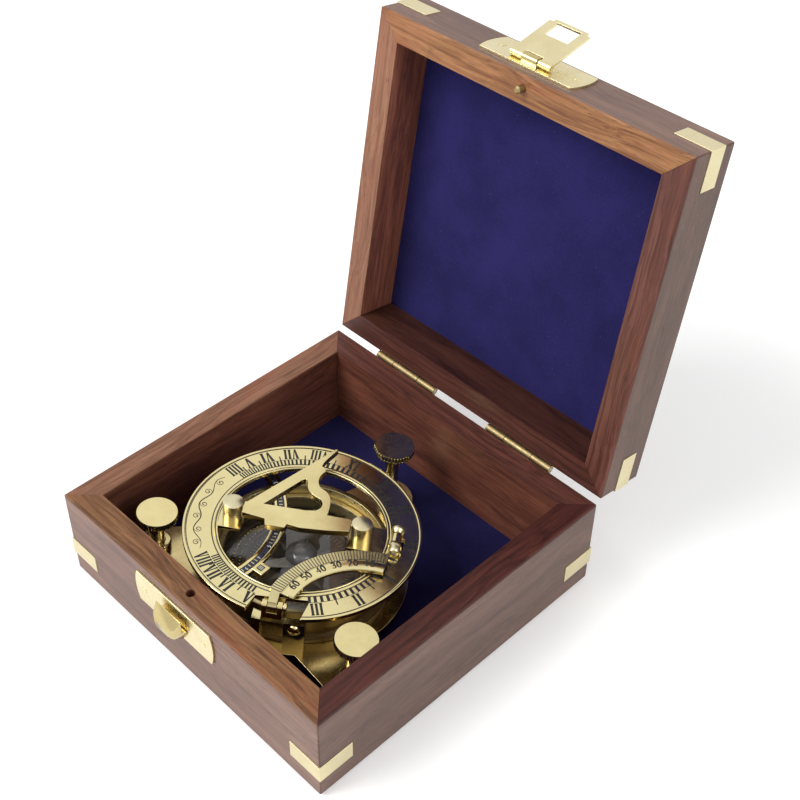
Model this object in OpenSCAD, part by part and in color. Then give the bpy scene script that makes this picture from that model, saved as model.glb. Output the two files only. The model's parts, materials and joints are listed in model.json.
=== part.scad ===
// Sundial compass in a hinged hardwood case, millimetres, +Z up.
// Origin: centre of the case's underside. Front (latch side) is -Y, hinges are at +Y.
// The instrument is drawn about its own centre, with X towards the XII hour and
// Z up from the underside of its base plate, and is then stood in the case.

/* [Case] */
// Room between the widest lobe of the instrument and each side wall
side_room = 0.75; // [0.7:0.01:4]
// Room between the base plate's round middle and the front wall
front_room = 2.15; // [1.8:0.05:5]
// Room between the back lobe and the back wall
back_room = 10.08; // [3:0.01:16]
// Height of the lower half
base_h = 36.5; // [35:0.5:42]
// Height of the lid
lid_h = 20.6; // [18:0.1:26]
// Thickness of the wooden walls
wall = 9.1; // [7.5:0.1:9.6]
// Thickness of the floor board and of the lid board
board_t = 3.3; // [2.7:0.1:4.5]
// Thickness of the felt in the lower half
felt_t = 1.4; // [0.8:0.1:1.8]
// Thickness of the felt in the lid
lid_felt_t = 1.5; // [0.8:0.1:2]
// Cut on the outer edges under the case and on the lid
edge_cut = 1.3; // [0.6:0.1:2]
// Cut on the edges round the rims and on the upright corners
rim_cut = 0.5; // [0.3:0.1:0.9]
// Gap between the closed rims
lid_gap = 0.6; // [0.5:0.05:1]
// How far the lid stands open
lid_open = 99.4; // [90:0.1:104]

/* [Case fittings] */
// Height of the brass inlay strips
inlay_h = 7; // [5:0.1:9]
// Length of each arm of an inlay strip
inlay_arm = 13; // [8:0.5:18]
// Thickness of the inlay strips
inlay_t = 1.2; // [0.8:0.1:2]
// How far the inlays stand proud of the wood
inlay_proud = 0.25; // [0.1:0.05:0.4]
// Height of the lower inlays above the underside
inlay_z = 8.5; // [6:0.1:10]
// Height of the lid inlays above the lid's rim
lid_inlay_z = 7.5; // [4:0.1:8]
// Length of each hinge
hinge_len = 28.5; // [22:0.5:34]
// Distance of each hinge from the middle of the case
hinge_x = 26.9; // [22:0.1:32]
// Length of a hinge's middle knuckle
hinge_mid = 12; // [8:0.5:14]
// Width of a hinge leaf on the back face, from the hinge's axis
leaf_w = 7; // [5:0.1:8]
// Thickness of a hinge leaf
leaf_t = 0.8; // [0.6:0.05:0.85]
// Radius of the hinge barrels
barrel_r = 1.3; // [1.2:0.05:1.5]
// Radius of the hinge pins
hinge_pin_r = 0.6; // [0.5:0.05:0.7]
// Distance of the hinge axis behind the back wall
hinge_back = 0.9; // [0.8:0.05:1.1]
// Radius of the locating peg in the lid's front rim
peg_r = 1.2; // [0.8:0.1:1.5]
// How far the peg stands out of the lid's rim
peg_out = 3; // [2:0.1:3.5]
// Clearance round the peg in its hole
peg_clear = 0.3; // [0.2:0.05:0.4]

/* [Latch] */
// Middle of the latch across the front
latch_x = -4.2; // [-8:0.1:0]
// Length of the latch plate and of the catch plate
plate_len = 38.6; // [34:0.2:44]
// Height of the latch plate and of the catch plate
plate_h = 13.5; // [12.5:0.1:14.5]
// Thickness of both plates
plate_t = 0.8; // [0.6:0.05:0.95]
// Distance from the lid's rim to the latch plate
latch_plate_z = 3.7; // [3:0.1:4.5]
// Distance from the closed rim down to the catch plate
catch_plate_drop = 4; // [3:0.1:5]
// Distance from the lid's rim to the hasp's pin
hasp_pin_z = 7; // [6.6:0.1:7.4]
// Distance of the hasp's pin off the wood
hasp_pin_off = 2.1; // [2.05:0.05:2.3]
// Radius of the hasp's knuckles
hasp_knuckle_r = 1.2; // [1.05:0.05:1.2]
// Radius of the hasp's pin
hasp_pin_r = 0.5; // [0.4:0.05:0.6]
// Width of the hasp
hasp_w = 16; // [14:0.2:19]
// Length of the hasp from its pin
hasp_len = 18.8; // [18.2:0.1:19.2]
// Thickness of the hasp
hasp_t = 0.9; // [0.7:0.05:1]
// Width of the hole in the hasp
hasp_hole_w = 9.3; // [8:0.1:10.5]
// Length of the hole in the hasp
hasp_hole_len = 6.5; // [5:0.1:7]
// Width of the bar below the hasp's hole
hasp_bar = 1.2; // [1:0.1:1.6]
// Angle of the folded-back hasp off the lid's face
hasp_rest = 20; // [14:1:40]
// Width of the domed catch
catch_w = 13.6; // [12:0.2:16]
// Height of the domed catch
catch_h = 11; // [9:0.1:11.6]
// How far the domed catch stands off its plate
catch_out = 4.8; // [4:0.1:5.4]

/* [Instrument placing] */
// How far the instrument stands left of the case's middle
inst_left = 0.7; // [0.4:0.1:1]
// Gap between the felt and the lowest edge of the leaning base plate
under_gap = 0.1; // [0.05:0.05:1]
// Direction of the XII hour, from the case's right
noon_az = 37; // [34:0.5:40]
// Lean given by the levelling screws
lean = 5; // [0:0.25:5.5]
// Direction of the lean, from the XII hour
lean_from_noon = 30; // [20:1:40]

/* [Base plate and drum] */
// How far the base plate's round middle stays inside the hour ring
plate_in = 2.5; // [1:0.1:4]
// Turn of the three lobes about the middle, from the noon line
lobe_turn = 0.8; // [-1:0.1:1.5]
// How far each lobe goes on past its levelling screw
lobe_over = 7.9; // [6:0.1:8.5]
// Radius of each lobe's end
lobe_r = 9.6; // [8.5:0.1:10.5]
// Half width of a lobe at its root
lobe_root = 15.5; // [12:0.5:17]
// Thickness of the base plate
plate_thick = 3; // [2.4:0.1:3.6]
// Outer radius of the collar round each levelling screw
collar_r = 4.6; // [4:0.1:5.2]
// Height of each collar
collar_h = 3.4; // [2:0.1:4]
// How much larger than the ring's hole the drum is, on the radius
drum_over = 2.1; // [1.6:0.1:2.6]
// Thickness of the drum's wall
drum_t = 1.9; // [1.7:0.1:2.2]
// Height of the drum
drum_h = 12; // [11:0.1:13]
// Width of the moulding round the drum's foot
foot_w = 2; // [1:0.1:3]
// Width of the ledge that carries the glass
ledge_w = 0.9; // [0.6:0.1:1.4]
// Height of the ledge's top over the base plate
ledge_h = 6; // [5.6:0.1:6.6]
// Thickness of the glass
glass_t = 1.2; // [0.8:0.1:1.6]
// Height of the ring that holds the glass
bezel_h = 1.1; // [0.8:0.1:1.6]
// Width of the ring that holds the glass
bezel_w = 1.7; // [1:0.1:2.5]
// Thickness of the compass card
card_t = 1.6; // [1:0.1:2]
// Sideways clearance of the card, the glass and the ring that holds it
seat_clear = 0.12; // [0.05:0.01:0.2]

/* [Needle] */
// Half the needle's length
needle_len = 20.5; // [16:0.5:24]
// Half the needle's width at its middle
needle_w = 2.1; // [1.4:0.1:3]
// Thickness of the needle
needle_t = 0.4; // [0.3:0.05:0.6]
// Height of the needle over the card
needle_up = 1.6; // [1.4:0.1:1.8]
// Radius of the needle's cap
cap_r = 2; // [1.6:0.1:2.6]
// Radius of the pivot
pivot_r = 0.6; // [0.45:0.05:0.8]
// Direction in which the needle stands
needle_turn = 20; // [0:1:359]

/* [Hour ring] */
// Outer radius of the hour ring
ring_r = 38.8; // [37.5:0.1:39.2]
// Width of the hour ring's band
ring_band = 11.4; // [9:0.1:12]
// Width of the band that is left inside the notch
notch_left = 3.5; // [2.5:0.1:4.5]
// Thickness of the hour ring
ring_t = 1.3; // [1:0.05:1.4]
// Height of the hour ring's top over the drum
ring_up = 8; // [7.5:0.1:8.6]
// How far both tabs go on past their posts
tab_over = 0.45; // [0.2:0.05:1]
// Half width of both tabs
tab_w = 5.5; // [4.5:0.1:6.5]
// Distance of the ring's hinge outside the drum
ring_hinge_off = 1; // [0.8:0.05:1.3]
// Height of the ring's hinge over the ring's top
ring_hinge_up = 1.5; // [1.4:0.05:1.7]
// Radius of the ring's hinge pin
ring_pin_r = 0.8; // [0.6:0.05:0.9]
// Length of each barrel of the ring's hinge
ear_len = 3.7; // [3:0.1:4.4]
// Gap between the bracket's eye and each barrel
ear_gap = 0.7; // [0.2:0.05:1]
// Radius of each barrel of the ring's hinge
ear_r = 2.2; // [1.9:0.05:2.4]
// Half width of the bracket's eye between the barrels
eye_w = 1.8; // [1.4:0.1:2]

/* [Gnomon] */
// Distance of the post beside the blank side inside the ring's band
post_left_in = 4.2; // [2:0.1:4.6]
// Distance of the post beside XII inside the ring's band
post_right_in = 8.3; // [7.9:0.1:9.9]
// Radius of the posts
post_r = 3.35; // [3:0.05:3.5]
// Height of the posts over the ring, up to their domed tops
post_h = 6.4; // [6.3:0.1:7.4]
// Height of the posts' domed tops
post_dome = 0.8; // [0.5:0.1:1.2]
// Height of the gnomon's pins over the ring
gnomon_up = 4.7; // [4.6:0.1:5]
// Thickness of the gnomon
gnomon_t = 2.2; // [1.6:0.1:2.4]
// Height of the gnomon's tip over its pins
gnomon_tip = 33; // [30:0.5:34]
// Half width of the gnomon's foot bar
bar_w = 3.6; // [2.4:0.1:3.7]
// Reach of the lug in front of the foot bar, from the pins
lug_out = 7; // [5.9:0.1:7.4]
// Radius of the gnomon's pins
gnomon_pin_r = 0.8; // [0.6:0.05:0.9]
// Gap between the foot bar and each post
post_gap = 0.25; // [0.15:0.05:0.4]

/* [Latitude arc] */
// Distance of the arc's free end inside the ring's hinge
arc_back = 4.6; // [4:0.1:6]
// Distance of the arc's outer edge from the noon line
arc_off = 7.1; // [6.8:0.1:8.4]
// Outer radius of the arc
arc_r = 31.9; // [31:0.1:33]
// Width of the arc
arc_w = 8.3; // [6.5:0.1:8.6]
// Thickness of the arc
arc_t = 1.2; // [0.8:0.05:1.4]
// Gap between the folded arc and the ring
arc_gap = 0.9; // [0.7:0.05:1.1]
// Distance of the arc's hinge outside the notch's floor
arc_hinge_out = 3.4; // [2.8:0.05:3.8]
// Distance of the arc's hinge from the middle of its foot, along the noon line
arc_hinge_side = 1.9; // [0:0.1:2.5]
// Width of the arc's tongue in its hinge
tongue_w = 3; // [2.4:0.1:3.4]
// Radius of the knuckle on the tongue
tongue_r = 1.6; // [1.4:0.05:1.7]
// Thickness of each cheek beside the tongue
cheek_t = 1.6; // [1.2:0.1:2]
// Radius of the arc's pin
arc_pin_r = 0.6; // [0.45:0.05:0.8]
// Radius of the round head on the arc's pin
arc_pin_head = 1.4; // [1.1:0.1:1.7]
// Width of the slot between the clamp's two cheeks
clamp_slot = 7.5; // [5:0.1:8.5]
// Width of the clamp's left cheek
clamp_left = 2.8; // [2:0.1:5]
// Width of the clamp's right cheek, which carries the screw
clamp_right = 6.8; // [5:0.1:8]
// How far the clamp stands out from the drum
clamp_out = 3.3; // [2.8:0.1:4]
// How far the clamp's top lies under the drum's
clamp_down = 1.4; // [0:0.1:3]

/* [Levelling screws] */
// Radius of a levelling screw's head
head_r = 7; // [6:0.1:7.2]
// Height of the head
head_h = 3.6; // [3:0.1:4.5]
// Gap between the hour ring and each head
head_gap = 2.6; // [1:0.1:5]
// Radius of the screw's shank
shank_r = 2.4; // [2:0.05:2.7]
// Length of the whole screw
screw_len = 27.3; // [25:0.1:30]

/* [Cross scale] */
// Width of the curved scale that crosses the drum
cross_w = 4.5; // [3.5:0.1:5.5]
// Thickness of the curved scale
cross_t = 1; // [0.7:0.1:1.4]
// Radius of its middle line
cross_r = 37.6; // [34:0.1:42]
// Width of the block that grips its outer edge
slider_w = 4.4; // [3:0.1:5.5]
// How far the block reaches over the edge
slider_grip = 0.9; // [0.5:0.05:1.2]
// Thickness of the block over and under the scale
slider_side = 0.7; // [0.5:0.05:1]
// Place of the block along the scale
slider_angle = -29; // [-35:0.5:-15]
// Distance of its middle line from the compass's centre
cross_off = 8.4; // [5:0.1:12]
// How far it goes on past the drum's rim at the back
cross_past = 6.2; // [3:0.1:8]
// Height of the small pillars under it
cross_up = 2.6; // [2:0.1:3]

/* [Hidden] */
$fn = 64;
eps = 0.01;
running = 0.05;
inlay_fit = 0.05;
leaf_fit = 0.1;
knuckle_gap = 0.15;
notch_wide = 16.8;
lobe_angles = [60 + lobe_turn, 180 + lobe_turn, lobe_turn - 60];
ring_in = ring_r - ring_band;
screw_at = ring_r + head_gap + head_r;
lobe_reach = screw_at + lobe_over;
plate_r = ring_r - plate_in;
drum_r = ring_in + drum_over;
felt_top = board_t + felt_t;
inner_w = 2 * (lobe_reach * cos(lobe_angles[2] + noon_az) + side_room);
inner_d = front_room + plate_r + lobe_reach * sin(lobe_angles[0] + noon_az) + back_room;
case_w = inner_w + 2 * wall;
case_d = inner_d + 2 * wall;
front = -case_d / 2;
inst_x = -inst_left;
inst_y = -inner_d / 2 + front_room + plate_r;
stand_h = under_gap + sin(lean)
    * (lobe_r + (lobe_reach - lobe_r) * cos(lobe_angles[0] - lean_from_noon));
hinge_y = case_d / 2 + hinge_back;
hinge_z = base_h + lid_gap / 2;
barrel_room = barrel_r + 0.25;
screw_head_r = 1.5;
screw_head_h = 0.5;
catch_mid_z = base_h - catch_plate_drop - plate_h / 2;
closed_pin_z = base_h + lid_gap + hasp_pin_z;
hasp_low = closed_pin_z - hasp_len;
slot_out = hasp_pin_off + 0.1;
rivet_at = plate_len / 2 - 4.6;
eye_len = 6;
inst_z = felt_top + stand_h;
lean_az = noon_az + lean_from_noon;
drum_top = plate_thick + drum_h;
ring_top = drum_top + ring_up;
ring_hinge_x = drum_r + ring_hinge_off;
post_left = ring_in - post_left_in;
post_right = ring_in - post_right_in;
tab_in = post_right - post_r - tab_over;
left_tab_in = post_left - post_r - tab_over + 0.15;
card_top = plate_thick + card_t;
ledge_z = plate_thick + ledge_h;
glass_r = drum_r - drum_t - seat_clear;
ring_hinge_z = ring_top + ring_hinge_up;
ring_low = ring_top - ring_t;
gnomon_z = ring_top + gnomon_up;
post_top = ring_top + post_h;
arc_z = ring_top + arc_gap;
arc_pin_z = ring_top - 0.1;
notch_in = ring_in + notch_left;
arc_cx = ring_hinge_x - arc_back;
arc_cy = arc_r + arc_off;
arc_mid = arc_r - arc_w / 2;
arc_foot = asin((arc_cy - notch_in) / arc_mid);
arc_hinge_x = arc_cx - arc_mid * cos(arc_foot) - arc_hinge_side;
arc_hinge_y = notch_in + arc_hinge_out;
cross_cx = -cross_r - cross_off;
cross_cy = 3;
cross_seat = drum_r - drum_t / 2;
cross_dist = norm([cross_cx, cross_cy]);
cross_turn = atan2(-cross_cy, -cross_cx);
cross_half = acos((cross_dist * cross_dist + cross_r * cross_r - cross_seat * cross_seat)
    / (2 * cross_dist * cross_r));
cross_a = cross_turn + cross_half;
cross_b = cross_turn - cross_half;
fork_half = tongue_w / 2 + knuckle_gap + cheek_t;

// Height of a screw's round tip over the plate's underside, where it meets the felt
function tip_z(a) =
    (shank_r + 0.03 - stand_h + screw_at * cos(a - lean_from_noon) * sin(lean)) / cos(lean);

// Points along a cubic curve
function curve(a, b, c, d, n = 10) = [for (i = [0:n])
    let (t = i / n, u = 1 - t)
    u * u * u * a + 3 * u * u * t * b + 3 * u * t * t * c + t * t * t * d];

// Places a piece drawn on the closed lid, with its rim at height 0
module on_lid() {
    translate([0, hinge_y, hinge_z])
        rotate([-lid_open, 0, 0])
            translate([0, -hinge_y, lid_gap / 2])
                children();
}

// Places a piece drawn about the instrument's own centre
module on_instrument() {
    translate([inst_x, inst_y, inst_z])
        rotate([0, 0, lean_az])
            rotate([0, lean, 0])
                rotate([0, 0, -lean_from_noon])
                    children();
}

// A mitred wall of length len, with its outer face on the X axis, facing -Y
module mitred_wall(len, h, low_cut, high_cut) {
    intersection() {
        rotate([90, 0, 90])
            translate([0, 0, -len / 2])
                linear_extrude(len)
                    polygon([[low_cut, 0], [wall, 0], [wall, h], [high_cut, h],
                        [0, h - high_cut], [0, low_cut]]);
        linear_extrude(h)
            polygon([[-len / 2 + rim_cut, 0], [len / 2 - rim_cut, 0],
                [len / 2 - rim_cut / 2, rim_cut / 2], [len / 2 - wall, wall],
                [-len / 2 + wall, wall], [-len / 2 + rim_cut / 2, rim_cut / 2]]);
    }
}

// Four brass corner strips of height h; more grows them all round
module corner_strips(h, more = 0) {
    for (sx = [-1, 1], sy = [-1, 1])
        scale([sx, sy, 1])
            translate([case_w / 2, case_d / 2, -more])
                linear_extrude(h + 2 * more)
                    polygon([[-inlay_arm - more, inlay_proud], [inlay_proud, inlay_proud],
                        [inlay_proud, -inlay_arm - more],
                        [inlay_proud - inlay_t - more, -inlay_arm - more],
                        [inlay_proud - inlay_t - more, inlay_proud - inlay_t - more],
                        [-inlay_arm - more, inlay_proud - inlay_t - more]]);
}

// Cut for one hinge: room for the barrel and for a leaf of the given height range
module hinge_cuts() {
    for (s = [-1, 1])
        translate([s * hinge_x, hinge_y, 0]) {
            translate([-hinge_len / 2 - leaf_fit, 0, hinge_z])
                rotate([0, 90, 0])
                    cylinder(r = barrel_room, h = hinge_len + 2 * leaf_fit);
        }
}

// Where the three screws of a leaf stand, from the middle of the hinge
function leaf_holes() = [[-hinge_len * 0.35, leaf_w * 0.52], [0, leaf_w * 0.7], [hinge_len * 0.35, leaf_w * 0.52]];

// On the back face, under or over the hinge axis, with Z pointing out of the wood
module at_leaf_holes(axis_z, way) {
    for (s = [-1, 1], p = leaf_holes())
        translate([s * hinge_x + p[0], case_d / 2, axis_z - way * p[1]])
            rotate([-90, 0, 0])
                children();
}

// One hinge leaf, drawn with the axis on X and the leaf under it
module leaf(middle) {
    difference() {
        union() {
            translate([-hinge_len / 2, -hinge_back, -leaf_w])
                cube([hinge_len, leaf_t, leaf_w - knuckle_gap]);
            translate([-hinge_len / 2, 0, 0])
                rotate([0, 90, 0])
                    cylinder(r = barrel_r, h = hinge_len);
        }
        for (k = middle ? [-1, 1] : [0])
            translate([k * (hinge_len + hinge_mid) / 4, 0, 0])
                rotate([0, 90, 0])
                    cylinder(r = barrel_r + 0.2, center = true,
                        h = (k == 0 ? hinge_mid : (hinge_len - hinge_mid) / 2) + 2 * knuckle_gap
                            - (k == 0 ? 0 : knuckle_gap));
        translate([-hinge_len / 2 - 1, 0, 0])
            rotate([0, 90, 0])
                cylinder(r = hinge_pin_r + running, h = hinge_len + 2);
        for (p = leaf_holes())
            translate([p[0], -hinge_back - 1, -p[1]])
                rotate([-90, 0, 0])
                    cylinder(r = screw_head_r + 0.05, h = leaf_t + 2);
    }
}

module leaf_screw(top) {
    translate([0, 0, top - screw_head_h])
        cylinder(r = screw_head_r, h = screw_head_h);
    translate([0, 0, top - 6])
        cylinder(r = 0.8, h = 6);
}

module screw_bore(top) {
    translate([0, 0, top - 6.2])
        cylinder(r = 0.8 + running, h = 7);
}

module small_dome(r, h) {
    big = (r * r + h * h) / (2 * h);
    intersection() {
        translate([0, 0, h - big])
            sphere(r = big);
        cylinder(r = r, h = h + 1);
    }
}

// Outline of the latch plate and the catch plate, with bowed ends
module plate_outline() {
    intersection() {
        square([plate_len, plate_h], center = true);
        circle(r = plate_len / 2);
    }
}

module wall_front() {
    color("peru") difference() {
        translate([0, front, 0])
            mitred_wall(case_w, base_h, edge_cut, rim_cut);
        translate([0, 0, inlay_z])
            corner_strips(inlay_h, inlay_fit);
        translate([latch_x + 3.9, front + wall / 2 - 0.4, base_h - peg_out - 0.6])
            cylinder(r = peg_r + peg_clear, h = peg_out + 1);
    }
}

module wall_back() {
    color("peru") difference() {
        rotate([0, 0, 180])
            translate([0, front, 0])
                mitred_wall(case_w, base_h, edge_cut, rim_cut);
        translate([0, 0, inlay_z])
            corner_strips(inlay_h, inlay_fit);
        hinge_cuts();
        at_leaf_holes(hinge_z, 1)
            screw_bore(leaf_t);
    }
}

module side_wall(a, h, low_cut, high_cut) {
    rotate([0, 0, a])
        translate([0, -case_w / 2, 0])
            mitred_wall(case_d, h, low_cut, high_cut);
}

module wall_left() {
    color("peru") difference() {
        side_wall(-90, base_h, edge_cut, rim_cut);
        translate([0, 0, inlay_z])
            corner_strips(inlay_h, inlay_fit);
    }
}

module wall_right() {
    color("peru") difference() {
        side_wall(90, base_h, edge_cut, rim_cut);
        translate([0, 0, inlay_z])
            corner_strips(inlay_h, inlay_fit);
    }
}

module floor_board() {
    color("saddlebrown")
        translate([-inner_w / 2, -inner_d / 2, 0])
            cube([inner_w, inner_d, board_t]);
}

module base_felt() {
    color("navy")
        translate([-inner_w / 2, -inner_d / 2, board_t])
            cube([inner_w, inner_d, felt_t]);
}

module base_inlay() {
    color("gold")
        translate([0, 0, inlay_z])
            corner_strips(inlay_h);
}

module catch_plate() {
    color("gold")
        translate([latch_x, front, catch_mid_z])
            rotate([90, 0, 0])
                linear_extrude(plate_t)
                    plate_outline();
}

// A pressed dome with its upper half standing off the plate as a lip
module catch_dome() {
    low = catch_mid_z - plate_h / 2 + 1;
    color("goldenrod")
        difference() {
            translate([latch_x, front - plate_t, low])
                rotate([90, 0, 0])
                    hull() {
                        linear_extrude(0.5)
                            polygon([[-catch_w * 0.36, 0], [catch_w * 0.36, 0], [catch_w / 2, catch_h * 0.34],
                                [catch_w / 2, catch_h], [-catch_w / 2, catch_h], [-catch_w / 2, catch_h * 0.34]]);
                        translate([0, 0, catch_out * 0.7])
                            linear_extrude(0.3)
                                polygon([[-catch_w * 0.3, catch_h * 0.12], [catch_w * 0.3, catch_h * 0.12],
                                    [catch_w * 0.4, catch_h * 0.4], [catch_w * 0.4, catch_h * 0.62],
                                    [-catch_w * 0.4, catch_h * 0.62], [-catch_w * 0.4, catch_h * 0.4]]);
                        linear_extrude(catch_out)
                            polygon([[-catch_w * 0.2, catch_h * 0.26], [catch_w * 0.2, catch_h * 0.26],
                                [catch_w * 0.26, catch_h * 0.46], [-catch_w * 0.26, catch_h * 0.46]]);
                    }
            translate([latch_x - catch_w / 2 - 1, front - slot_out, hasp_low - 0.3])
                cube([catch_w + 2, slot_out, catch_h]);
        }
}

module catch_rivets() {
    color("goldenrod")
        for (s = [-1, 1])
            translate([latch_x + s * rivet_at, front - plate_t, catch_mid_z])
                rotate([90, 0, 0])
                    small_dome(1.3, 0.4);
}

module base_hinge_leaves() {
    color("gold")
        for (s = [-1, 1])
            translate([s * hinge_x, hinge_y, hinge_z])
                leaf(false);
}

module base_hinge_screws() {
    color("goldenrod")
        at_leaf_holes(hinge_z, 1)
            leaf_screw(leaf_t);
}

module lid_wall_cuts() {
    translate([0, 0, lid_inlay_z])
        corner_strips(inlay_h, inlay_fit);
}

module lid_front() {
    color("peru") on_lid() difference() {
        translate([0, front, lid_h])
            mirror([0, 0, 1])
                mitred_wall(case_w, lid_h, edge_cut, rim_cut);
        lid_wall_cuts();
        translate([latch_x + 3.9, front + wall / 2 - 0.4, -1])
            cylinder(r = peg_r + running, h = 5);
    }
}

module lid_back() {
    color("peru") on_lid() difference() {
        rotate([0, 0, 180])
            translate([0, front, lid_h])
                mirror([0, 0, 1])
                    mitred_wall(case_w, lid_h, edge_cut, rim_cut);
        lid_wall_cuts();
        translate([0, 0, -hinge_z - lid_gap / 2])
            hinge_cuts();
        at_leaf_holes(-lid_gap / 2, -1)
            screw_bore(leaf_t);
    }
}

module lid_left() {
    color("peru") on_lid() difference() {
        translate([0, 0, lid_h])
            mirror([0, 0, 1])
                side_wall(-90, lid_h, edge_cut, rim_cut);
        lid_wall_cuts();
    }
}

module lid_right() {
    color("peru") on_lid() difference() {
        translate([0, 0, lid_h])
            mirror([0, 0, 1])
                side_wall(90, lid_h, edge_cut, rim_cut);
        lid_wall_cuts();
    }
}

module lid_board() {
    color("saddlebrown") on_lid()
        translate([-inner_w / 2, -inner_d / 2, lid_h - board_t])
            cube([inner_w, inner_d, board_t]);
}

module lid_felt() {
    color("navy") on_lid()
        translate([-inner_w / 2, -inner_d / 2, lid_h - board_t - lid_felt_t])
            cube([inner_w, inner_d, lid_felt_t]);
}

module lid_inlay() {
    color("gold") on_lid()
        translate([0, 0, lid_inlay_z])
            corner_strips(inlay_h);
}

module lid_peg() {
    color("gold") on_lid()
        translate([latch_x + 3.9, front + wall / 2 - 0.4, -peg_out]) {
            translate([0, 0, peg_r * 0.4])
                cylinder(r = peg_r, h = peg_out + 3.9 - peg_r * 0.4);
            cylinder(r1 = peg_r * 0.6, r2 = peg_r, h = peg_r * 0.4);
        }
}

// Plate on the lid's front with its middle rolled up round the hasp's pin
module latch_plate() {
    color("gold") on_lid() difference() {
        union() {
            translate([latch_x, front, latch_plate_z + plate_h / 2])
                rotate([90, 0, 0])
                    linear_extrude(plate_t)
                        plate_outline();
            translate([latch_x - eye_len / 2, front - hasp_pin_off, hasp_pin_z])
                rotate([0, 90, 0])
                    cylinder(r = hasp_knuckle_r, h = eye_len);
            translate([latch_x - eye_len / 2, front - hasp_pin_off, hasp_pin_z - hasp_knuckle_r])
                cube([eye_len, hasp_pin_off, 2 * hasp_knuckle_r]);
        }
        translate([latch_x - 20, front - hasp_pin_off, hasp_pin_z])
            rotate([0, 90, 0])
                cylinder(r = hasp_pin_r + running, h = 40);
    }
}

module latch_rivets() {
    color("goldenrod") on_lid()
        for (s = [-1, 1])
            translate([latch_x + s * rivet_at, front - plate_t, latch_plate_z + plate_h * 0.54])
                rotate([90, 0, 0])
                    small_dome(1.3, 0.4);
}

module lid_hinge_leaves() {
    color("gold") on_lid()
        for (s = [-1, 1])
            translate([s * hinge_x, hinge_y, -lid_gap / 2])
                mirror([0, 0, 1])
                    leaf(true);
}

module hinge_pins() {
    color("goldenrod")
        for (s = [-1, 1])
            translate([s * hinge_x - hinge_len / 2, hinge_y, hinge_z])
                rotate([0, 90, 0])
                    cylinder(r = hinge_pin_r, h = hinge_len);
}

module lid_hinge_screws() {
    color("goldenrod") on_lid()
        at_leaf_holes(-lid_gap / 2, -1)
            leaf_screw(leaf_t);
}

module hasp_pin() {
    color("goldenrod") on_lid()
        translate([latch_x - hasp_w / 2, front - hasp_pin_off, hasp_pin_z])
            rotate([0, 90, 0])
                cylinder(r = hasp_pin_r, h = hasp_w);
}

// Drawn hanging down from its pin, then folded back over the lid's face
module hasp() {
    side_len = (hasp_w - eye_len) / 2 - knuckle_gap;
    color("gold") on_lid()
        translate([latch_x, front - hasp_pin_off, hasp_pin_z])
            rotate([hasp_rest - 180, 0, 0])
                difference() {
                    union() {
                        translate([-hasp_w / 2, 0, -hasp_len + hasp_bar])
                            cube([hasp_w, hasp_t, hasp_len - hasp_bar]);
                        translate([-hasp_w / 2 + 1.5, 0, -hasp_len])
                            cube([hasp_w - 3, hasp_t, 2 * hasp_bar]);
                        for (s = [-1, 1])
                            translate([s * (hasp_w / 2 - side_len / 2), 0, 0])
                                rotate([0, 90, 0])
                                    cylinder(r = hasp_knuckle_r, h = side_len, center = true);
                    }
                    translate([-eye_len / 2 - knuckle_gap, -3, -hasp_knuckle_r - 0.6])
                        cube([eye_len + 2 * knuckle_gap, 6, 5]);
                    translate([-hasp_hole_w / 2, -1, -hasp_len + hasp_bar])
                        cube([hasp_hole_w, hasp_t + 2, hasp_hole_len]);
                    translate([-hasp_w, 0, 0])
                        rotate([0, 90, 0])
                            cylinder(r = hasp_pin_r + running, h = 2 * hasp_w);
                }
}

module lobe_outline() {
    end_x = lobe_reach - lobe_r;
    polygon([[8, -lobe_root], [28, -lobe_root], [end_x, -lobe_r], [end_x, lobe_r],
        [28, lobe_root], [8, lobe_root]]);
    translate([end_x, 0])
        circle(r = lobe_r);
}

module base_plate() {
    color("gold") on_instrument() difference() {
        union() {
            linear_extrude(plate_thick) {
                circle(r = plate_r, $fn = 96);
                for (a = lobe_angles)
                    rotate(a)
                        lobe_outline();
            }
            for (a = lobe_angles)
                rotate([0, 0, a])
                    translate([screw_at, 0, plate_thick])
                        rotate_extrude()
                            union() {
                                square([collar_r - 0.8, collar_h]);
                                square([collar_r, collar_h - 0.8]);
                                translate([collar_r - 0.8, collar_h - 0.8])
                                    circle(r = 0.8);
                            }
        }
        for (a = lobe_angles)
            rotate([0, 0, a])
                translate([screw_at, 0, -1])
                    cylinder(r = shank_r + running, h = plate_thick + collar_h + 2);
    }
}

module drum() {
    inner = drum_r - drum_t;
    color("goldenrod") on_instrument()
        translate([0, 0, plate_thick])
            rotate_extrude($fn = 96)
                difference() {
                    union() {
                        square([drum_r, drum_h]);
                        square([drum_r + foot_w, 1.2]);
                        translate([0, 1.2])
                            square([drum_r + foot_w * 0.5, 0.7]);
                    }
                    translate([-1, -1])
                        square([inner - ledge_w + 1, drum_h + 2]);
                    translate([-1, ledge_h])
                        square([inner + 1, drum_h]);
                }
}

module compass_card() {
    color("ivory") on_instrument()
        translate([0, 0, plate_thick])
            cylinder(r = drum_r - drum_t - ledge_w - seat_clear, h = card_t);
}

module pivot() {
    color("silver") on_instrument()
        translate([0, 0, card_top]) {
            cylinder(r = 1.7, h = 0.5);
            cylinder(r = pivot_r, h = needle_up + 0.8);
        }
}

module glass() {
    color("lightcyan", 0.3) on_instrument()
        translate([0, 0, ledge_z])
            cylinder(r = glass_r, h = glass_t);
}

module bezel() {
    color("gold") on_instrument()
        translate([0, 0, ledge_z + glass_t])
            rotate_extrude()
                difference() {
                    square([glass_r, bezel_h]);
                    translate([-1, -1])
                        square([glass_r - bezel_w + 1, bezel_h + 2]);
                }
}

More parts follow.
